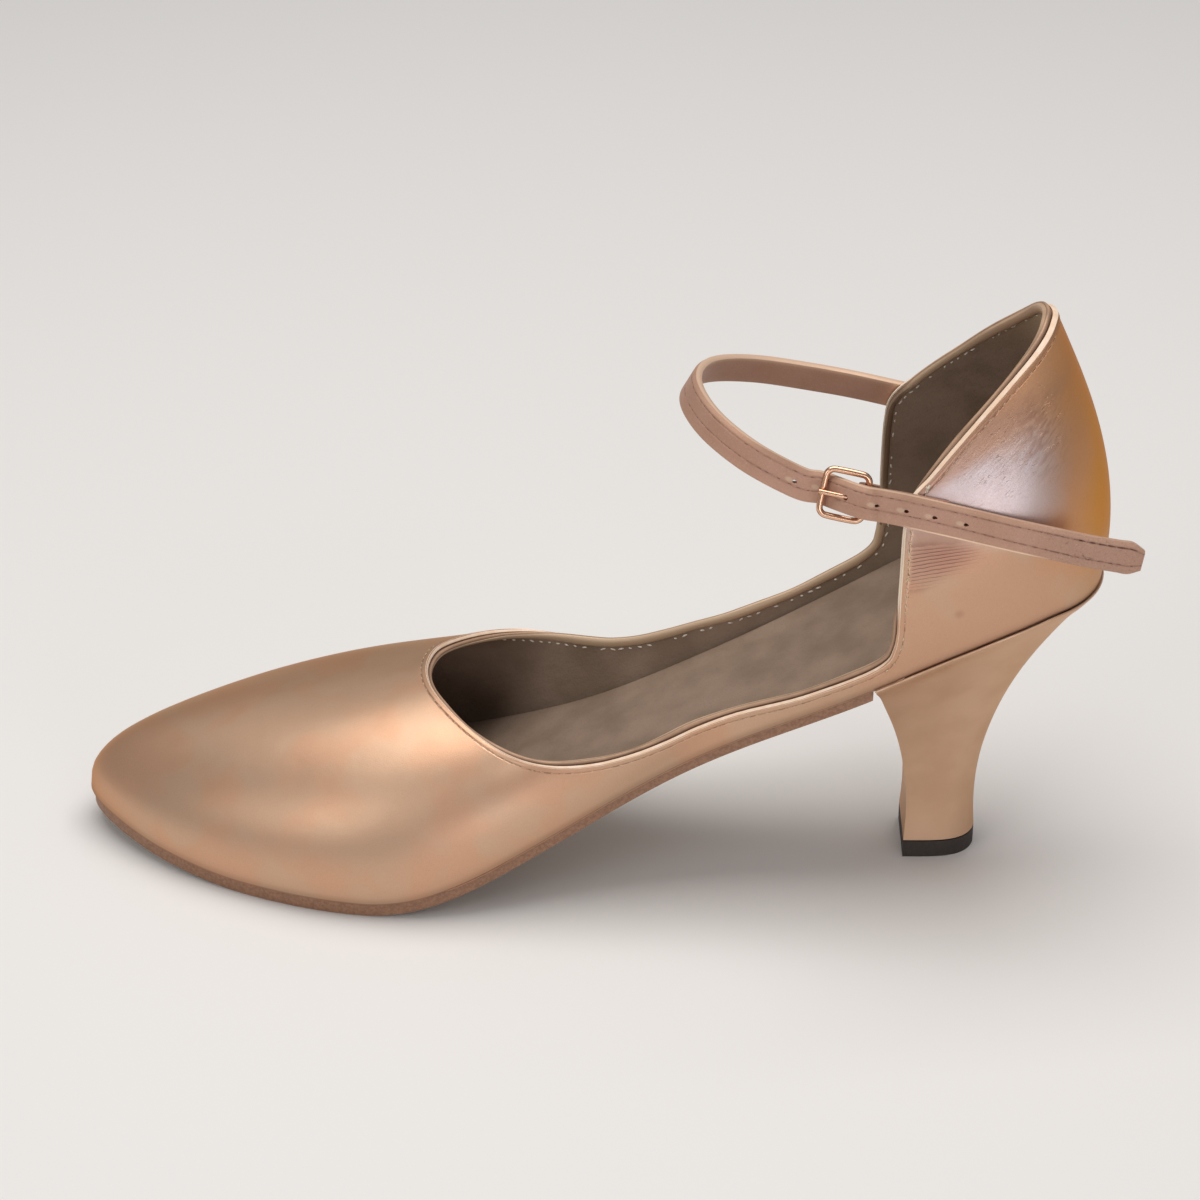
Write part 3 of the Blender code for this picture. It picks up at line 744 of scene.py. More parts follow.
def heel_leather():
    finish = Finish(
        "heel_cover_leather", srgb(198, 160, 132), 0.38, 0.6,
        coat_weight=0.05, specular_tint=(*srgb(222, 186, 150), 1))
    cloud = finish.noise(12.0)
    grain = finish.noise(0.35, 2.0)
    finish.colour = finish.mottled(cloud, srgb(212, 174, 142), srgb(222, 186, 156))
    finish.feed("Roughness", 0.34 + cloud * 0.1 + grain * 0.04)
    return finish.done(grain * 0.018 + cloud * 0.05)


def sole_suede():
    finish = Finish("suede_sole", srgb(168, 146, 124), 0.95)
    nap = finish.noise(0.6, 4.0, 0.7)
    worn = finish.noise(16.0)
    finish.colour = finish.mottled(worn, srgb(176, 154, 132), srgb(140, 118, 98), 0.35)
    finish.tint(nap.step(0.4, 0.8) * 0.3, srgb(120, 98, 80))
    return finish.done(nap * 0.08)


def top_piece_rubber():
    finish = Finish("top_piece_rubber", srgb(52, 46, 42), 0.7)
    fine = finish.noise(0.8)
    finish.colour = finish.blend(fine, srgb(44, 39, 36), srgb(66, 58, 52))
    return finish.done(fine * 0.04)


def thread(name, colour):
    finish = Finish(name, colour, 0.6)
    twist = finish.noise(0.22, 2.0)
    finish.colour = finish.mottled(twist, tuple(c * 0.62 for c in colour), colour, 0.35, 0.65)
    return finish.done(twist * 0.05)


def rose_gold_plate():
    finish = Finish("rose_gold_plate", srgb(232, 190, 160), 0.2, 1.0)
    scuff = finish.noise(1.5, 4.0)
    finish.feed("Roughness", 0.14 + scuff * 0.16)
    finish.colour = finish.blend(scuff, srgb(238, 198, 168), srgb(214, 166, 134))
    return finish.done()


leather = rose_gold_leather()
lip_edge = pale_edge()
stretched_rose = two_tone(
    "stretched_rose_leather", 0.38, 0.5, 6.0, 0.03, srgb(208, 168, 138), srgb(226, 190, 162))
binding = binding_leather()
lining_finish = lining_suede()
strap_finish = strap_leather()
heel_finish = heel_leather()
suede = sole_suede()
sole_edge = two_tone("dyed_sole_edge", 0.5, 0.2, 0.7, 0.04, srgb(142, 104, 82), srgb(164, 124, 98))
rubber = top_piece_rubber()
plate = rose_gold_plate()
cream_thread = thread("cream_thread", srgb(246, 236, 220))
pale_thread = thread("pale_thread", srgb(237, 212, 182))
tan_thread = thread("tan_thread", srgb(228, 192, 162))
brown_thread = thread("brown_thread", srgb(146, 106, 90))


# ---------------------------------------------------------------- the upper

def paint(made, name, values):
    """Stores one value on each point of a piece, for its finish to read."""
    attribute = made.data.attributes.new(name, "FLOAT", "POINT")
    attribute.data.foreach_set("value", np.asarray(values, np.float32))


def vectors(parts, name):
    """One vector of each of a mesh's parts, as rows."""
    found = np.zeros(len(parts) * 3, np.float32)
    parts.foreach_get(name, found)
    return found.reshape(-1, 3).astype(float)


def coordinates(made):
    return vectors(made.data.vertices, "co")


def put(made, points):
    made.data.vertices.foreach_set("co", np.asarray(points, np.float32).reshape(-1))
    made.data.update()


def nearest_of(line, points):
    """For each point, the number of the nearest point of a line and how far off it is."""
    tree = KDTree(len(line))
    for i, point in enumerate(line):
        tree.insert(point, i)
    tree.balance()
    found = [tree.find(point) for point in points]
    return np.array([hit[1] for hit in found]), np.array([hit[2] for hit in found]) / MM


def bell(distance, width):
    """1 at no distance, and fading both ways."""
    return np.exp(-(distance / width)**2)


def soft(value, low, high):
    """Goes softly from 0 at one value to 1 at another."""
    t = np.clip((value - low) / (high - low), 0, 1)
    return t * t * (3 - 2 * t)


# Rows of the leather's outside in millimetres: below the topline, and above the feather edge
# with how far each of those is tucked in. The others are spread evenly between them.
TOP_ROWS = (1.0, 1.15, 1.3, 1.5, 1.7, 1.85, 2.0, 2.1, 2.2, 2.3, 2.4, 2.5, 2.6, 2.75, 3.0, 3.5, 4.3)
FOOT_ROWS = (-0.22, -0.16, 0.0, 0.3, 1.0, 1.8)
FOOT_TUCK = (0.16, 0.05, 0.01, 0.0, 0.0, 0.0)
WALL_ROWS = 46


def outer_lines():
    """The leather's outside: rows close together at the rim and foot, even between them."""
    ups, lengths = outer_skin.lengths(ribs_at)
    total = lengths[:, -1]
    rows = []
    for height, tuck in zip(FOOT_ROWS, FOOT_TUCK):
        rows.append((np.full(len(total), height * MM), tuck))
    trim = lip_slope(rim.out) - 0.08
    below = np.array([np.interp(length[-1] - MM, length, ups) for length in lengths])
    fall = ((rim.out - outer_skin.at(ribs_at, below)) * rim.off).sum(-1) / MM
    steep = 1 / np.maximum(fall, 0.6)
    low, high = FOOT_ROWS[-1] * MM, total - TOP_ROWS[-1] * steep * MM
    for i in range(1, WALL_ROWS):
        rows.append((low + (high - low) * i / WALL_ROWS, 0.0))
    for drop in reversed(TOP_ROWS):
        share = (drop - TOP_ROWS[0]) / (TOP_ROWS[-1] - TOP_ROWS[0])
        rows.append((total - (trim + (TOP_ROWS[-1] - trim) * share) * steep * MM, 0.0))
    first_up = ups[1] / lengths[:, 1]
    lines = []
    for height, tuck in rows:
        up = np.array([np.interp(h, length, ups) for h, length in zip(height, lengths)])
        up += np.minimum(height, 0) * first_up
        lines.append(outer_skin.at(ribs_at, up) - outer_skin.facing(ribs_at, up) * tuck * MM)
    return lines


def topline_distance(points):
    """How far each point lies from the topline's outside, in millimetres."""
    return nearest_of(outer_skin.at(between_ribs(24), outer_skin.top), points)[1]


def creases_at(points):
    """How deep the creases press at each point, which crease is nearest and how clear it is."""
    x, y, z = (points / MM).T
    outside = (y > 15).astype(float)
    depth, clear = np.zeros(len(points)), np.zeros(len(points))
    behind = np.clip(CREASE_FRONT - x, -1, 24)
    run = behind * (1 - behind / 90)
    paths = []
    for front_z, slope, length, deep in CREASES:
        paths.append(front_z + slope * run)
        share = behind / length
        held = soft(share, -0.02, 0.05) * (1 - soft(share, 0.4, 1.05))
        near = bell(z - paths[-1], CREASE_HALF)
        depth += deep * held * near
        clear = np.maximum(clear, held * (deep / 0.08) * bell(z - paths[-1], 0.9))
    paths = np.array(paths[::-1])
    count = np.zeros(len(points))
    for below, above in zip(paths, paths[1:]):
        count += np.clip((z - below) / (above - below), 0, 1)
    return depth * outside, count, clear * outside


def front_share(points):
    """0 along the slanting rim of the quarter and 1 from its front edge on."""
    return soft(points[..., 0] / MM, *SLANT_ENDS)


def edge_share(points):
    """1 along the quarter's upright front edge and 0 along the rest of the topline."""
    x, z = points[..., 0] / MM, points[..., 2] / MM
    return soft(x, *EDGE_STARTS) * (1 - soft(x, *EDGE_ENDS)) * soft(z, *EDGE_FOOT)


def lip_slope(points):
    """How far the pale lip slopes down from the top of the wall to its outside."""
    slope = LIP_SLOPE_BACK + (LIP_SLOPE_FRONT - LIP_SLOPE_BACK) * front_share(points)
    return slope - 0.15 * edge_share(points)


def outer_row(points):
    """How far below the topline the band ends and its stitches run, in millimetres."""
    row = OUTER_ROW_BACK + (OUTER_ROW_FRONT - OUTER_ROW_BACK) * front_share(points)
    return row - 0.25 * edge_share(points)


def wall_inside():
    """The inside of the wall as a tree, which tells how far a point is from the lining."""
    ups = np.linspace(0, 8, 17)
    size = len(ribs_at)
    corners = inner_skin.at(ribs_at[None, :], ups[:, None]).reshape(-1, 3)
    faces = []
    for low in range(0, (len(ups) - 1) * size, size):
        for i in range(size):
            after = (i + 1) % size
            faces.append((low + i, low + after, low + size + after, low + size + i))
    return BVHTree.FromPolygons([tuple(corner) for corner in corners], faces)


def make_quarter_and_vamp():
    """The leather wall: a folded band along the topline, then creases pressed in."""
    lines = outer_lines() + [rim.ring(LEATHER, -drop) for drop in (TRIM, 0.8, 2.0)]
    for up in (6.4, 5.0, 3.0, 1.0, 0.15):
        face, facing = outer_skin.at(ribs_at, up), outer_skin.facing(ribs_at, up)
        facing *= np.sign((facing * (face - inner_skin.at(ribs_at, up))).sum(-1, keepdims=True))
        lines.append(face - facing * LEATHER * MM)
    made = loft("quarter_and_vamp", lines)
    pick(made, lambda face: face.center.y > 22 * MM and -13 * MM < face.center.x < 14 * MM
         and 78 * MM < face.center.z < 95 * MM and face.normal.y > 0.5)
    bpy.ops.mesh.subdivide(number_cuts=2)
    leave()
    points, facing = coordinates(made), vectors(made.data.vertex_normals, "vector")
    away = topline_distance(points)
    deep, count, creased = creases_at(points)
    inside = wall_inside()
    clear = np.array([inside.find_nearest(Vector(point))[3] for point in points]) / MM
    shown = soft(clear, 1.2, 1.6)
    row, trim = outer_row(points), lip_slope(points)
    share = np.clip((away - trim) / (row - trim), 0, 1)
    front, edge = front_share(points), edge_share(points)
    band = soft(share, 0.0, 0.4) * (1 - soft(share, 0.55 + 0.3 * front, 0.98))
    band *= (1 - 0.6 * front) * (1 - 0.8 * edge)
    groove = bell(away - row, 0.11)
    ragged = np.sin(points[:, 2] / MM * 2.3) * 0.1 + np.sin(points[:, 2] / MM * 5.9 + 1) * 0.07
    frayed = edge * bell(away - row - 0.2 + ragged, 0.2)
    shift = shown * (FOLD_RAISE * band - (0.14 - 0.1 * edge) * groove - deep + 0.08 * frayed)
    put(made, points + facing * shift[:, None] * MM)
    up = nearest_of(outer_skin.at(between_ribs(12), 0.0), points)[1]
    paint(made, "crease_count", count)
    # Where the creases' painted shade falls.
    paint(made, "creased", creased * shown * soft(away - row, 0.1, 0.5))
    paint(made, "fold_band", (1 - soft(away - row, -0.2, 0.05)) * shown * (1 - 0.8 * front))
    # Where the stitch groove gets its painted shade.
    paint(made, "groove", groove * shown * (1 - 0.5 * edge))
    paint(made, "frayed", frayed * shown)
    # Painted shade towards the feather edge.
    paint(made, "foot", 0.4 * (1 - soft(up, 0.0, 2.4)) + 0.4 * (1 - soft(up, 0.0, 0.3)))
    reach = np.interp(points[:, 2] / MM, (97.0, 106.0, 119.0), (-1.5, 4.0, 9.0))
    paint(made, "rim_shade", 1 - soft(away - row, reach - 3, reach + 1.5))
    return finished(made, leather, "upper", "upper")


def wave(arc, amount, *lengths):
    """A slow unevenness along the rim, the sum of a few waves that close up."""
    total = arc[-1]
    turns = [round(total / (length * MM)) for length in lengths]
    place = arc[:-1] / total * 2 * math.pi
    return amount * sum(np.sin(turn * place + turn) for turn in turns) / len(turns)


def make_topline_lip():
    """The pale cut edge: it slopes from the top of the wall out over the folded band."""
    uneven = wave(rim.arc(), 0.05, 31.0, 47.0)[:, None]
    slope = lip_slope(rim.out)[:, None] * (1 + wave(rim.arc(), 0.12, 13.0, 19.0, 41.0)[:, None])
    edge = edge_share(rim.out)[:, None]
    proud = LIP_PROUD * (1 - 0.8 * front_share(rim.out)[:, None] * (1 - edge))
    rise = 0.38 * edge
    slant = [(-proud * (1 - t) + (LIP_WIDTH - 0.2) * t, 0.03, -0.95 + 0.92 * t)
             for t in (0.05, 0.3, 0.6, 0.9)]
    rows = [
        (0.2, -0.2, -1.0), (0.05 - proud, -0.12, -1.0), (-proud, -0.06, -1.0),
        (-proud - 0.02, 0.0, -0.97), *slant, (LIP_WIDTH - 0.12, 0.0, 0.0),
        (LIP_WIDTH - 0.04, 0.0, 0.0), (LIP_WIDTH, -0.1, 0.0), (LIP_WIDTH, -0.5, 0.0),
        (LIP_WIDTH - 0.05, -0.9, 0.0),
    ]
    lines = []
    for inwards, off, share in rows:
        shown = off - 0.05 + slope * share + rise * (1 + share)
        lines.append(rim.ring(inwards + uneven * (np.max(inwards) > 0.6), shown))
    made = loft("topline_lip", lines)
    # Painted light down the quarter's front edge.
    paint(made, "front_lip_light", edge_share(coordinates(made)))
    return finished(made, lip_edge, "upper")


def across_rim(points):
    """Each point's place on the rim: millimetres inwards of its outside and off its edge."""
    nearest = nearest_of(rim.out, points)[0]
    offset = (points - rim.out[nearest]) / MM
    return (offset * rim.inwards[nearest]).sum(-1), (offset * rim.off[nearest]).sum(-1)


def make_inner_binding():
    """The roll that binds the lining: it stands over the lip and hangs a little way inside."""
    edge = edge_share(rim.out)[:, None]
    uneven = wave(rim.arc(), 0.26, 21.0, 33.0, 47.0)[:, None] * (1 - 0.8 * edge)
    start = LIP_WIDTH + GROOVE_WIDTH
    end = start + BINDING_WIDTH + 0.5 * (1 - soft(rim.out[:, :1] / MM, -14.0, -2.0))
    tuck = start + 0.72
    rise = BINDING_RISE + 0.3 * soft(rim.out[:, 2:] / MM, 108.0, 120.0) - 0.5 * edge
    outline = [
        (start + 0.1, -0.9), (start, -0.3), (start, 0.05), (start + 0.05, rise - 0.3),
        (start + 0.16, rise - 0.1), (start + 0.36, rise), (tuck - 0.12, rise),
        (tuck - 0.04, rise - 0.03), (tuck, rise - 0.09), (tuck + 0.04, rise - 0.05),
        (tuck + 0.14, rise - 0.01), (end - 0.34, rise - 0.08), (end - 0.16, rise - 0.3),
        (end - 0.05, 0.0), (end - 0.04, -0.4), (end - 0.18, -0.9), (end - 0.4, -BINDING_DROP + 0.12),
        (end - 0.68, -BINDING_DROP), (end - 0.95, -BINDING_DROP + 0.1),
    ]
    lines = []
    for inwards, off in outline:
        sideways = uneven * 0.5 * (np.max(inwards) > start + 0.5)
        lines.append(rim.ring(inwards + sideways, off + uneven * soft(off, -0.6, 0.3)))
    made = loft("inner_binding", lines)
    points = coordinates(made)
    inwards, off = across_rim(points)
    deep = (1 - soft(off, 0.0, 0.45)) * (1 - soft(inwards, start + 0.3, start + 0.9))
    deep = np.maximum(deep, 0.8 * edge_share(points))
    high = soft(points[:, 2] / MM, *COLLAR_PEAK)
    # Painted shade: dark next to the lip and in a thin line along the fold.
    paint(made, "tucked", np.maximum(deep, 0.6 * bell(inwards - tuck, 0.1) * soft(off, 0.1, 0.3)))
    # Painted light on the crest, less towards the collar's peak.
    paint(made, "crest", soft(inwards, tuck - 0.1, tuck + 0.15) * (1 - 0.6 * high))
    return finished(made, binding, "upper")


def make_lining():
    """The dark lining on the inside of the wall."""
    places = np.arange(inner_skin.ribs * 2) / 2
    shown, hidden = [], []
    for up in np.linspace(0.0, inner_skin.top - 0.02, 25):
        point, facing = inner_skin.at(places, up), inner_skin.facing(places, up)
        shown.append(point + facing * 0.03 * MM)
        hidden.append(point + facing * 0.6 * MM)
    return finished(loft("lining", shown + hidden[::-1]), lining_finish, "upper")


# ---------------------------------------------------------------- stitches

def sort_by_place(made):
    """Sorts points and faces by place, because a sphere's come in another order each run."""
    slanting = Vector((1.0, 0.37, 0.113))
    bm = bmesh.new()
    bm.from_mesh(made.data)
    bm.verts.sort(key=lambda vertex: vertex.co.dot(slanting))
    bm.faces.sort(key=lambda face: face.calc_center_median().dot(slanting))
    bm.to_mesh(made.data)
    bm.free()


def one_stitch(length, radius):
    """A thread that lies on the leather and dips into it at both ends."""
    made = added(
        bpy.ops.mesh.primitive_uv_sphere_add, segments=6, ring_count=5, radius=1,
        rotation=(0, math.pi / 2, 0))
    sort_by_place(made)
    bpy.ops.object.transform_apply(location=False, rotation=True, scale=False)
    points = coordinates(made)
    points *= (length / 2 * MM, radius * MM, radius * 0.8 * MM)
    share = np.abs(points[:, 0]) / (length / 2 * MM)
    points[:, 2] -= share**2 * radius * 0.9 * MM
    put(made, points)
    smooth(made, 80)
    return made


def sew(name, places, length, radius, material, slot, seed=3, loose=0.0, worn_off=0.0):
    """Copies of one stitch at places given as point, direction along and facing."""
    chance = random.Random(seed)
    pattern = one_stitch(length, radius)
    parts = []
    for point, along, facing in places:
        if chance.random() < worn_off:
            continue
        along, facing = Vector(along).normalized(), Vector(facing).normalized()
        side = facing.cross(along).normalized()
        along = (side.cross(facing) + side * chance.uniform(-1, 1) * loose).normalized()
        side = facing.cross(along).normalized()
        turn = Matrix((along, side, facing)).transposed().to_4x4()
        part = pattern.copy()
        part.data = pattern.data.copy()
        part.data.transform(Matrix.Diagonal((1 + chance.uniform(-1, 1) * loose, 1, 1, 1)))
        part.data.transform(Matrix.Translation(Vector(point)) @ turn)
        bpy.context.collection.objects.link(part)
        parts.append(part)
    bpy.data.objects.remove(pattern)
    return finished(joined(name, parts), material, slot)


def surface(made):
    return BVHTree.FromObject(made, bpy.context.evaluated_depsgraph_get())


def along_rim(down, inset, pitch, tree, lift):
    """Places for stitches below the topline, evenly spaced along it, on the surface there."""
    fine = Rim(between_ribs(12))
    arc = fine.arc()
    start = fine.out + (fine.inwards * inset - fine.off * np.reshape(down(fine.out), (-1, 1))) * MM
    count = round(arc[-1] / (pitch * MM))
    places = []
    for i in range(count):
        k = int(np.searchsorted(arc, arc[-1] * (i + 0.5) / count)) % len(start)
        spot, facing = tree.find_nearest(Vector(start[k]))[:2]
        places.append((spot + facing * lift * MM, fine.along[k], facing))
    return places


def torn_ends(front):
    """Places for loose thread ends where the front edge's stitches have torn above the strap."""
    chance = random.Random(9)
    ends = []
    for point, along, facing in front:
        for _ in range(TORN_ENDS if point[2] > TORN_ABOVE * MM else 0):
            side = Vector(facing).cross(Vector(along))
            loose = Vector(along) + side * chance.uniform(-1.4, 1.4)
            shift = Vector(along) * chance.uniform(-0.9, 0.9) - side * chance.uniform(-0.3, 0.9)
            ends.append((point + shift * MM, loose, facing))
    return ends


def sew_upper(quarter, inner_wall):
    """One row along the topline outside, heavier down the quarter's front edge, and one inside."""
    places = along_rim(outer_row, 0.0, STITCH_PITCH, surface(quarter), 0.03)
    front = [place for place in places if place[0].y > 0 and 8 * MM < place[0].x < 16 * MM]
    other = [place for place in places if place not in front]
    front = [(point + facing * 0.07 * MM, along, facing) for point, along, facing in front]
    sew("torn_threads", torn_ends(front), 1.5, 0.22, cream_thread, "upper", seed=6, loose=0.5)
    sew("topline_stitches", other, 1.15, 0.14, tan_thread, "upper", loose=0.4, worn_off=0.1)
    sew("front_edge_stitches", front, 1.0, 0.2, pale_thread, "upper", seed=4, loose=0.8, worn_off=0.1)
    places = along_rim(
        lambda points: np.full(len(points), INNER_ROW), 2.0, STITCH_PITCH, surface(inner_wall), 0.04)
    sew("lining_stitches", places, 1.2, 0.22, cream_thread, "upper", seed=5, loose=0.4, worn_off=0.2)


# ---------------------------------------------------------------- the strap

def strap_rails():
    """The strap's long corners from its loose end: outer top and bottom, inner bottom and top."""
    bm, where = read("strap")
    near = links(edge for edge in bm.edges
                 if len(edge.link_faces) == 2 and edge.calc_face_angle() > SHARP_CORNER)
    ends = sorted(bm.verts, key=lambda vertex: vertex.co.x)[:4]
    ends = sorted(ends, key=lambda vertex: vertex.co.y, reverse=True)
    outside = sorted(ends[:2], key=lambda vertex: vertex.co.z, reverse=True)
    inside = sorted(ends[2:], key=lambda vertex: vertex.co.z)
    starts = [vertex.index for vertex in outside + inside]
    rails = []
    for start in starts:
        rail, seen = [start], set(starts)
        while True:
            here = bm.verts[rail[-1]].co
            ahead = here - bm.verts[rail[-2]].co if len(rail) > 1 else None
            after = [v for v in near[rail[-1]] if v not in seen]
            if ahead:
                after = [v for v in after if ahead.angle(bm.verts[v].co - here) < SQUARE_TURN]
            if not after:
                break
            rail.append(min(after, key=lambda v: (bm.verts[v].co - here).length))
            seen.add(rail[-1])
        rails.append(rail)
    bm.free()
    size = min(len(rail) for rail in rails) - 2
    return where[[rail[:size] + rail[-1:] for rail in rails]]


class Band:
    """The strap's middle line with its width and outward directions, finely spaced."""

    def __init__(self, rails, fine=5):
        count = rails.shape[1]
        before, after = 2 * rails[:, :1] - rails[:, 1:2], 2 * rails[:, -1:] - rails[:, -2:-1]
        padded = np.concatenate([before, rails, after], axis=1)
        places = np.linspace(0, count - 1, (count - 1) * fine + 1)
        k = np.minimum(places.astype(int), count - 2)
        weights = Skin.weights(places - k)
        lines = sum(weights[i][None, :, None] * padded[:, k + i] for i in range(4))
        top_out, low_out, low_in, top_in = lines
        self.middle = lines.mean(axis=0)
        self.wide = direction(top_out + top_in - low_out - low_in)
        self.half = np.linalg.norm(top_out + top_in - low_out - low_in, axis=-1) / 4
        self.out = direction(np.cross(self.along(), self.wide))
        facing = top_out + low_out - low_in - top_in
        self.out *= np.sign((self.out * facing).sum(-1, keepdims=True))

    def along(self):
        return direction(np.gradient(self.middle, axis=0))

    def ring(self, across, out):
        """A line along the strap: across as a share of its half width, out in millimetres."""
        sideways = self.wide * (across * self.half)[:, None]
        return self.middle + sideways + self.out * np.reshape(out, (-1, 1)) * MM

    def arc(self):
        return distances(self.middle)

    def at_x(self, x):
        """The nearest section over the outer side at a place along the shoe."""
        half = len(self.middle) // 2
        return int(np.argmin(np.abs(self.middle[:half, 0] - x * MM)))


def strap_outline():
    """The strap's section: thin rolled edges, a full outer face and two sewn channels."""
    outline = []
    for across in np.linspace(-0.965, 0.965, OUTER_FACE):
        skived = 0.5 * soft(across, 0.66, 1.05) + 0.12 * soft(-across, 0.9, 1.0)
        outline.append((across, STRAP_EDGE - skived))
    for turn in (60, 30, 0, -30, -60):
        angle = math.radians(turn)
        outline.append((0.965 + 0.035 * math.cos(angle), 0.5 * math.sin(angle) - 0.35))
    for across in np.linspace(0.965, -0.965, 9):
        outline.append((across, -STRAP_EDGE - 0.25 + 0.1 * abs(across)**6))
    for turn in (-60, -30, 0, 30, 60):
        angle = math.radians(turn)
        outline.append((-0.965 - 0.035 * math.cos(angle), 0.6 * math.sin(angle) - 0.25))
    return outline


def lower_seam(x):
    """The lower row of stitches runs a little closer to the holes towards the buckle."""
    return np.interp(x / MM, (-25.0, 9.0), (LOWER_SEAM_BACK, LOWER_SEAM_FRONT))


def seam_depth(across, lower):
    width = across * STRAP_HALF
    return bell(width - UPPER_SEAM, 0.17) + bell(width - lower, 0.17)


def across_strap(points):
    """Each point's section of the strap, its share of the half width and millimetres out."""
    nearest = nearest_of(band.middle, points)[0]
    offset = points - band.middle[nearest]
    across = (offset * band.wide[nearest]).sum(-1) / band.half[nearest]
    return nearest, across, (offset * band.out[nearest]).sum(-1) / MM


def strap_settling(tree):
    """How far each section moves inwards to lie on the leather: a middle amount and a tilt."""
    spots = np.linspace(-1, 1, 7)
    moves = np.zeros((len(band.middle), 2))
    for k in range(len(band.middle)):
        room = []
        for across in spots:
            start = band.middle[k] + band.wide[k] * across * band.half[k] - band.out[k] * STRAP_EDGE * MM
            hit = tree.ray_cast(Vector(start), Vector(-band.out[k]), 3 * MM)[3]
            room.append(hit / MM - SETTLED_GAP if hit else np.nan)
        room = np.array(room)
        if np.isfinite(room).all():
            tilt, middle = np.polyfit(spots, room, 1)
            middle -= max((middle + tilt * spots - room).max(), 0)
            moves[k] = np.clip(middle, 0, SETTLED_MOST), tilt if middle > 0 else 0
    kernel = np.hanning(2 * SETTLING_REACH + 1)
    return np.stack([np.convolve(column, kernel / kernel.sum(), "same") for column in moves.T], axis=1)


def settled(points):
    """Points of the strap, moved inwards to where it lies on the leather."""
    nearest, across, _ = across_strap(points)
    inwards = np.maximum(settling[nearest, 0] + settling[nearest, 1] * np.clip(across, -1, 1), 0)
    sunk = points - band.out[nearest] * inwards[:, None] * MM
    sunk[:, 2] -= settling[nearest, 0] * SETTLED_DROP * MM
    return sunk


def torn_stitches():
    """Where the upper row's stitch holes have torn at the loose end, as distances along it."""
    chance = random.Random(21)
    return [start + chance.uniform(-0.3, 0.3) for start in np.arange(3.2, 15.0, 2.25)]


def hole_sections():
    """The sections of the strap with a punched hole, the one nearest the loose end first."""
    arc = band.arc()
    low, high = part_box("buckle_prong")
    prong = band.at_x((low.x + high.x) / 2 / MM)
    places = [arc[prong] + (i - HOLE_IN_USE) * HOLE_PITCH * MM for i in range(HOLE_COUNT)]
    return [int(np.argmin(np.abs(arc - place))) for place in places]


def punch_holes(made):
    """Cuts round holes squeezed to drops by wear, except the one that the prong fills."""
    cutters = []
    for i, k in enumerate(hole_sections()):
        cutter = added(
            bpy.ops.mesh.primitive_cylinder_add, vertices=20, radius=HOLE_RADIUS * MM, depth=5 * MM)
        if i != HOLE_IN_USE:
            for vertex in cutter.data.vertices:
                vertex.co.x *= 0.9
                vertex.co.y *= HOLE_SQUEEZE * (1 - 0.5 * vertex.co.x / (HOLE_RADIUS * MM))
        sides = (np.cross(band.wide[k], band.out[k]), band.wide[k], band.out[k])
        place = Matrix(sides).transposed().to_4x4()
        cutter.data.transform(Matrix.Translation(Vector(band.middle[k])) @ place)
        cutters.append(cutter)
    punch = joined("punch", cutters)
    modify(made, "BOOLEAN", operation="DIFFERENCE", object=punch, solver="EXACT")
    bpy.data.objects.remove(punch)


def worn_by_holes(points):
    """Where the prong has rubbed the leather pale, just ahead of each hole."""
    worn = np.zeros(len(points))
    along = band.along()
    for k in hole_sections():
        offset = points - band.middle[k]
        before, beside, beyond = (offset @ side[k] / MM for side in (along, band.wide, band.out))
        patch = np.exp(-((before - 1.4) / 1.0)**2 - (beside / 0.6)**2)
        worn = np.maximum(worn, patch * (np.abs(beyond) < 1.5))
    return worn


def make_strap():
    """The strap: rolled edges, two sewn channels and a row of punched holes."""
    lower = lower_seam(band.middle[:, 0])
    x = band.middle[:, 0] / MM
    bright = soft(x, -21, -12) * (1 - soft(x, 10, 14)) * (band.middle[:, 1] > 0)
    arc = band.arc() / MM
    torn = sum(bell(arc - start, 0.5) for start in torn_stitches())
    lines = []
    for i, (across, out) in enumerate(strap_outline()):
        sink = 0.0
        if i < OUTER_FACE:
            tear = torn * bell(across * STRAP_HALF - UPPER_SEAM, 0.16)
            sink = 0.14 * seam_depth(across, lower) + 0.22 * tear
            sink = sink - 0.24 * bright * bell(across + 0.94, 0.06)
        lines.append(band.ring(across, out - sink))
    made = loft("strap", lines, close_rings=False)
    punch_holes(made)
    points = coordinates(made)
    nearest, across, out = across_strap(points)
    face = soft(out, 0.3, 0.5)
    paint(made, "wear", worn_by_holes(points) * face)
    # Where the sewn channels get their painted shade.
    paint(made, "groove", np.clip(seam_depth(across, lower[nearest]), 0, 1) * face)
    split = torn[nearest] * bell(across * STRAP_HALF - UPPER_SEAM, 0.13)
    # Where the torn stitch holes get their painted shade.
    paint(made, "torn", np.clip(split * face, 0, 1))
    # Painted reflection of the floor on the lower edge, and a painted highlight along the top edge,
    # strongest towards the buckle.
    lit = soft(-across, 0.86, 0.89) * bright[nearest]
    top_edge_highlight = soft(across, 0.93, 0.97) * (0.3 + 0.4 * soft(points[:, 0] / MM, -4, 8))
    paint(made, "edge", np.maximum(lit, top_edge_highlight))
    # Painted light on the rolled edges, more on the top one.
    paint(made, "bevel", np.maximum(soft(across, 0.55, 0.75), 0.6 * soft(-across, 0.5, 0.7)))
    put(made, settled(points))
    smooth(made, 45)
    return finished(made, strap_finish, "strap", "strap")


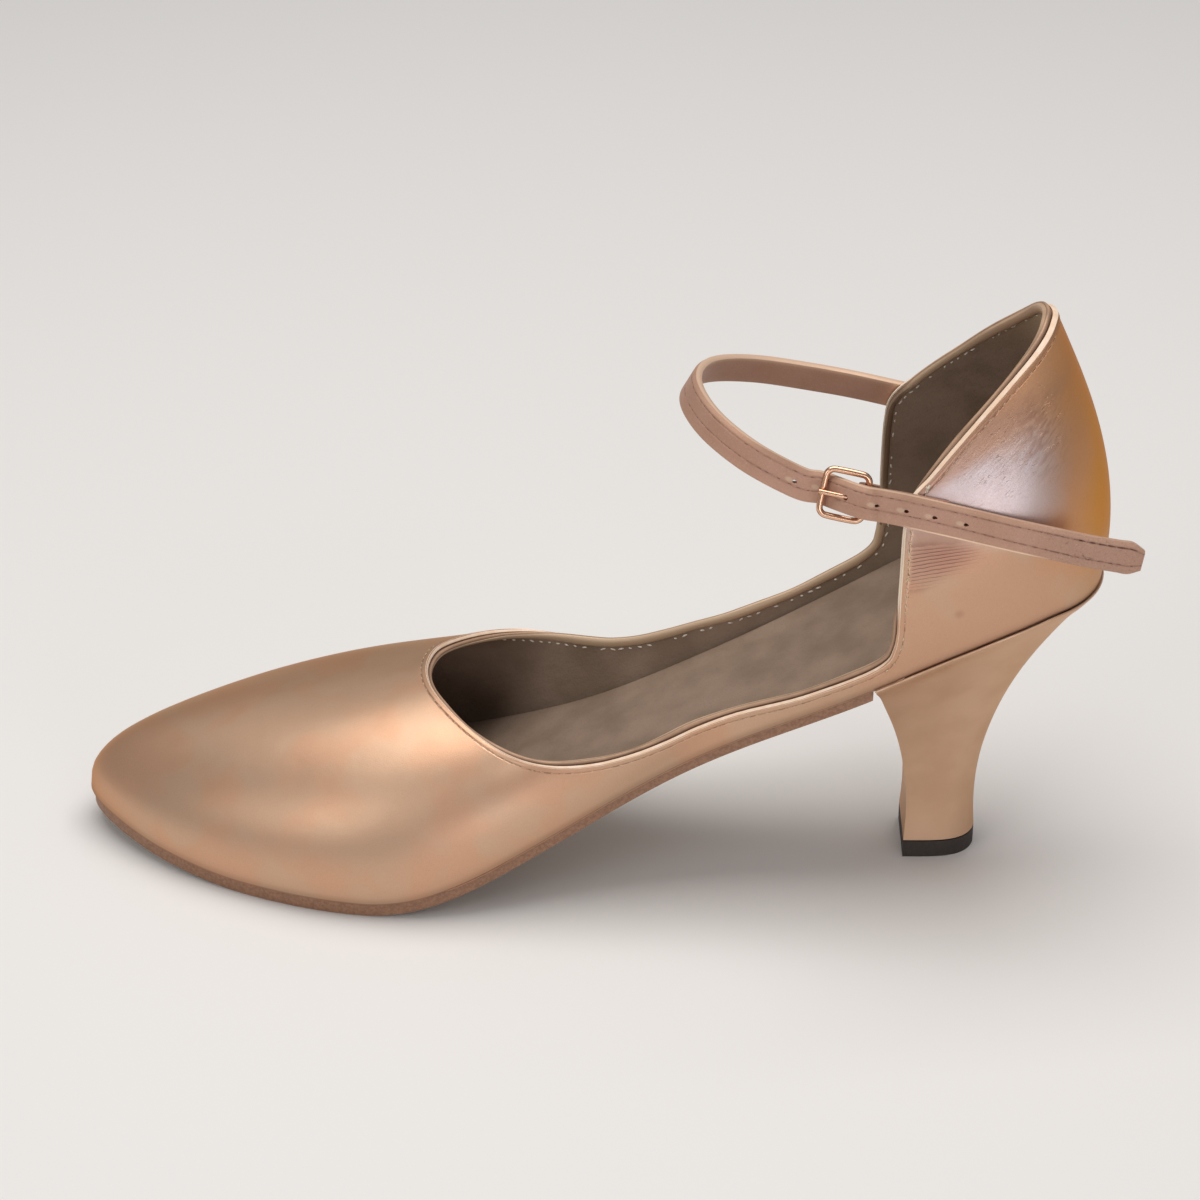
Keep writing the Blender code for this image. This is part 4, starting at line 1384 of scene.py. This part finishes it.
def strap_seams(pitch, seed):
    """Places for the strap's stitches along both channels, a little unevenly spaced."""
    chance = random.Random(seed)
    arc = band.arc()
    along = band.along()
    lower = lower_seam(band.middle[:, 0])
    places = []
    for row in (np.full(len(arc), UPPER_SEAM), lower):
        for i in range(1, int(arc[-1] / (pitch * MM)) - 1):
            k = int(np.argmin(np.abs(arc - (i + chance.uniform(-0.12, 0.12)) * pitch * MM)))
            point = band.middle[k] + (band.wide[k] * row[k] + band.out[k] * (STRAP_EDGE - 0.14)) * MM
            places.append((settled(point[None])[0], along[k], band.out[k]))
    return places


# ---------------------------------------------------------------- heel, soles, buckle

def make_heel_cover():
    """The covered heel, its seat edge held crisp by a narrow bevel."""
    made = copy_of("heel", "heel_cover")
    quads(made)
    modify(made, "BEVEL", width=0.22 * MM, segments=2, limit_method="ANGLE", angle_limit=math.radians(50))
    modify(made, "SUBSURF", levels=2, render_levels=2)
    smooth(made, 45)
    return finished(made, heel_finish, "heel", "heel")


def make_heel_seat_roll():
    """The turned edge of the heel's cover, a thin roll round the seat."""
    bm, where = read("heel")
    loop = where[border_loops(bm, lambda face: face.normal.z > 0.3)[0]]
    bm.free()
    breast = loop[:, 0].max() - 4 * MM
    start = int(np.argmax(loop[:, 0]))
    loop = np.roll(loop, -start, axis=0)
    centre = loop.mean(axis=0)
    fine = []
    for i in range(len(loop)):
        before, here, after, beyond = (loop[(i + j) % len(loop)] for j in (-1, 0, 1, 2))
        for t in np.arange(0, 1, 0.25):
            corner = max(here[0], after[0]) > breast
            w = (0, 1 - t, t, 0) if corner else Skin.weights(np.float64(t))
            fine.append(w[0] * before + w[1] * here + w[2] * after + w[3] * beyond)
    fine = np.array(fine)
    along = direction(np.roll(fine, -1, axis=0) - np.roll(fine, 1, axis=0))
    outward = np.cross(along, (0, 0, 1.0))
    outward = direction(outward)
    outward *= np.sign(((fine - centre) * outward).sum(-1, keepdims=True))
    up = direction(np.cross(outward, along))
    up *= np.sign(up[:, 2:])
    lines = []
    for angle in np.linspace(0, 2 * math.pi, 10, endpoint=False):
        sideways, over = 0.24 * math.cos(angle) - 0.08, 0.26 * math.sin(angle) - 0.13
        lines.append(fine + (outward * sideways + up * over) * MM)
    return finished(loft("heel_seat_roll", lines), stretched_rose, "heel")


def rounded_copy(node, name, width, material, slot, levels=1, angle=50.0):
    """A CAD node's shape with its sharp edges rounded and its faces smooth."""
    made = copy_of(node, name)
    quads(made)
    modify(made, "BEVEL", width=width * MM, segments=3,
           limit_method="ANGLE", angle_limit=math.radians(angle))
    if levels:
        modify(made, "SUBSURF", levels=levels, render_levels=levels)
    smooth(made, 45)
    return finished(made, material, slot, node)


# ---------------------------------------------------------------- building

quarter = make_quarter_and_vamp()
make_topline_lip()
make_inner_binding()
inner_wall = make_lining()

sew_upper(quarter, inner_wall)

band = Band(strap_rails())
settling = strap_settling(surface(quarter))
make_strap()
sew("strap_stitches", strap_seams(2.35, 12), 1.1, 0.12, brown_thread, "strap",
    seed=8, loose=0.3, worn_off=0.2)

make_heel_cover()
make_heel_seat_roll()
rounded_copy("insole", "sock", 0.4, lining_finish, "insole", levels=2)
sole = rounded_copy("outsole", "sole", 0.5, suede, "outsole", levels=2)
sole.data.materials.append(sole_edge)
for face in sole.data.polygons:
    face.material_index = int(face.normal.z > -0.55)
rounded_copy("top_piece", "heel_top_piece", 0.3, rubber, "top_piece", levels=1)
rounded_copy("buckle_tab", "buckle_keeper_tab", 0.25, strap_finish, "strap", levels=1)
rounded_copy("buckle_frame", "buckle_wire", 0.05, plate, "buckle", levels=2, angle=80)
rounded_copy("buckle_prong", "buckle_pin", 0.1, plate, "buckle", levels=2, angle=70)


# ---------------------------------------------------------------- studio

# The camera looks at the shoe's outer side from a metre away, a little above it.
CAMERA_TARGET = (-7.6, 0.0, 100.0)
CAMERA_AZIMUTH = 5.768
CAMERA_ELEVATION = 27.061
CAMERA_ROLL = -0.92
CAMERA_DISTANCE = 1000.0
FRAME_CENTRE = (77.0, 0.0, 60.0)
FRAME_WIDTH = 264.0


def make_camera():
    azimuth, elevation = math.radians(CAMERA_AZIMUTH), math.radians(CAMERA_ELEVATION)
    toward = Vector((
        math.sin(azimuth) * math.cos(elevation),
        math.cos(azimuth) * math.cos(elevation),
        math.sin(elevation),
    ))
    spot = (Vector(CAMERA_TARGET) + toward * CAMERA_DISTANCE) * MM
    back = spot - Vector(FRAME_CENTRE) * MM
    distance = back.length
    back.normalize()
    right = Vector((0, 0, 1)).cross(back).normalized()
    up = back.cross(right)
    turn = math.radians(CAMERA_ROLL)
    right, up = right * math.cos(turn) - up * math.sin(turn), right * math.sin(turn) + up * math.cos(turn)
    lens = bpy.data.cameras.new("camera")
    lens.sensor_width = 36.0
    lens.lens = 36.0 * distance / (FRAME_WIDTH * MM)
    camera = bpy.data.objects.new("camera", lens)
    camera.matrix_world = Matrix((right, up, back)).transposed().to_4x4()
    camera.location = spot
    bpy.context.collection.objects.link(camera)
    bpy.context.scene.camera = camera


def softbox(name, spot, aim, width, height, power, colour):
    """A soft area light at a place, facing another, in millimetres."""
    light = bpy.data.lights.new(name, "AREA")
    light.shape = "RECTANGLE"
    light.size, light.size_y = width * MM, height * MM
    light.energy = power
    light.color = colour
    made = bpy.data.objects.new(name, light)
    made.location = Vector(spot) * MM
    made.rotation_euler = (Vector(spot) - Vector(aim)).to_track_quat("Z", "Y").to_euler()
    bpy.context.collection.objects.link(made)


def make_studio():
    floor = added(bpy.ops.mesh.primitive_plane_add, size=6.0, location=(0, 0, 0))
    floor.name = "floor"
    floor.data.materials.append(Finish("pale_floor", (0.86, 0.85, 0.84), 0.85).material)
    softbox("rose_window", (-150, 720, 180), (-5, 20, 100), 380, 220, 0.8, (1.0, 0.95, 0.96))
    softbox("top", (80, -100, 900), (60, 0, 0), 900, 700, 6.2, (1.0, 0.97, 0.93))
    softbox("front_fill", (600, 600, 500), (60, 0, 40), 500, 400, 1.2, (1.0, 0.96, 0.92))
    world = bpy.data.worlds.new("studio")
    world.use_nodes = True
    world.node_tree.nodes["Background"].inputs["Color"].default_value = (0.95, 0.95, 0.97, 1)
    world.node_tree.nodes["Background"].inputs["Strength"].default_value = 0.28
    bpy.context.scene.world = world
    bpy.context.scene.view_settings.view_transform = "Standard"


make_camera()
make_studio()

bpy.context.view_layer.update()
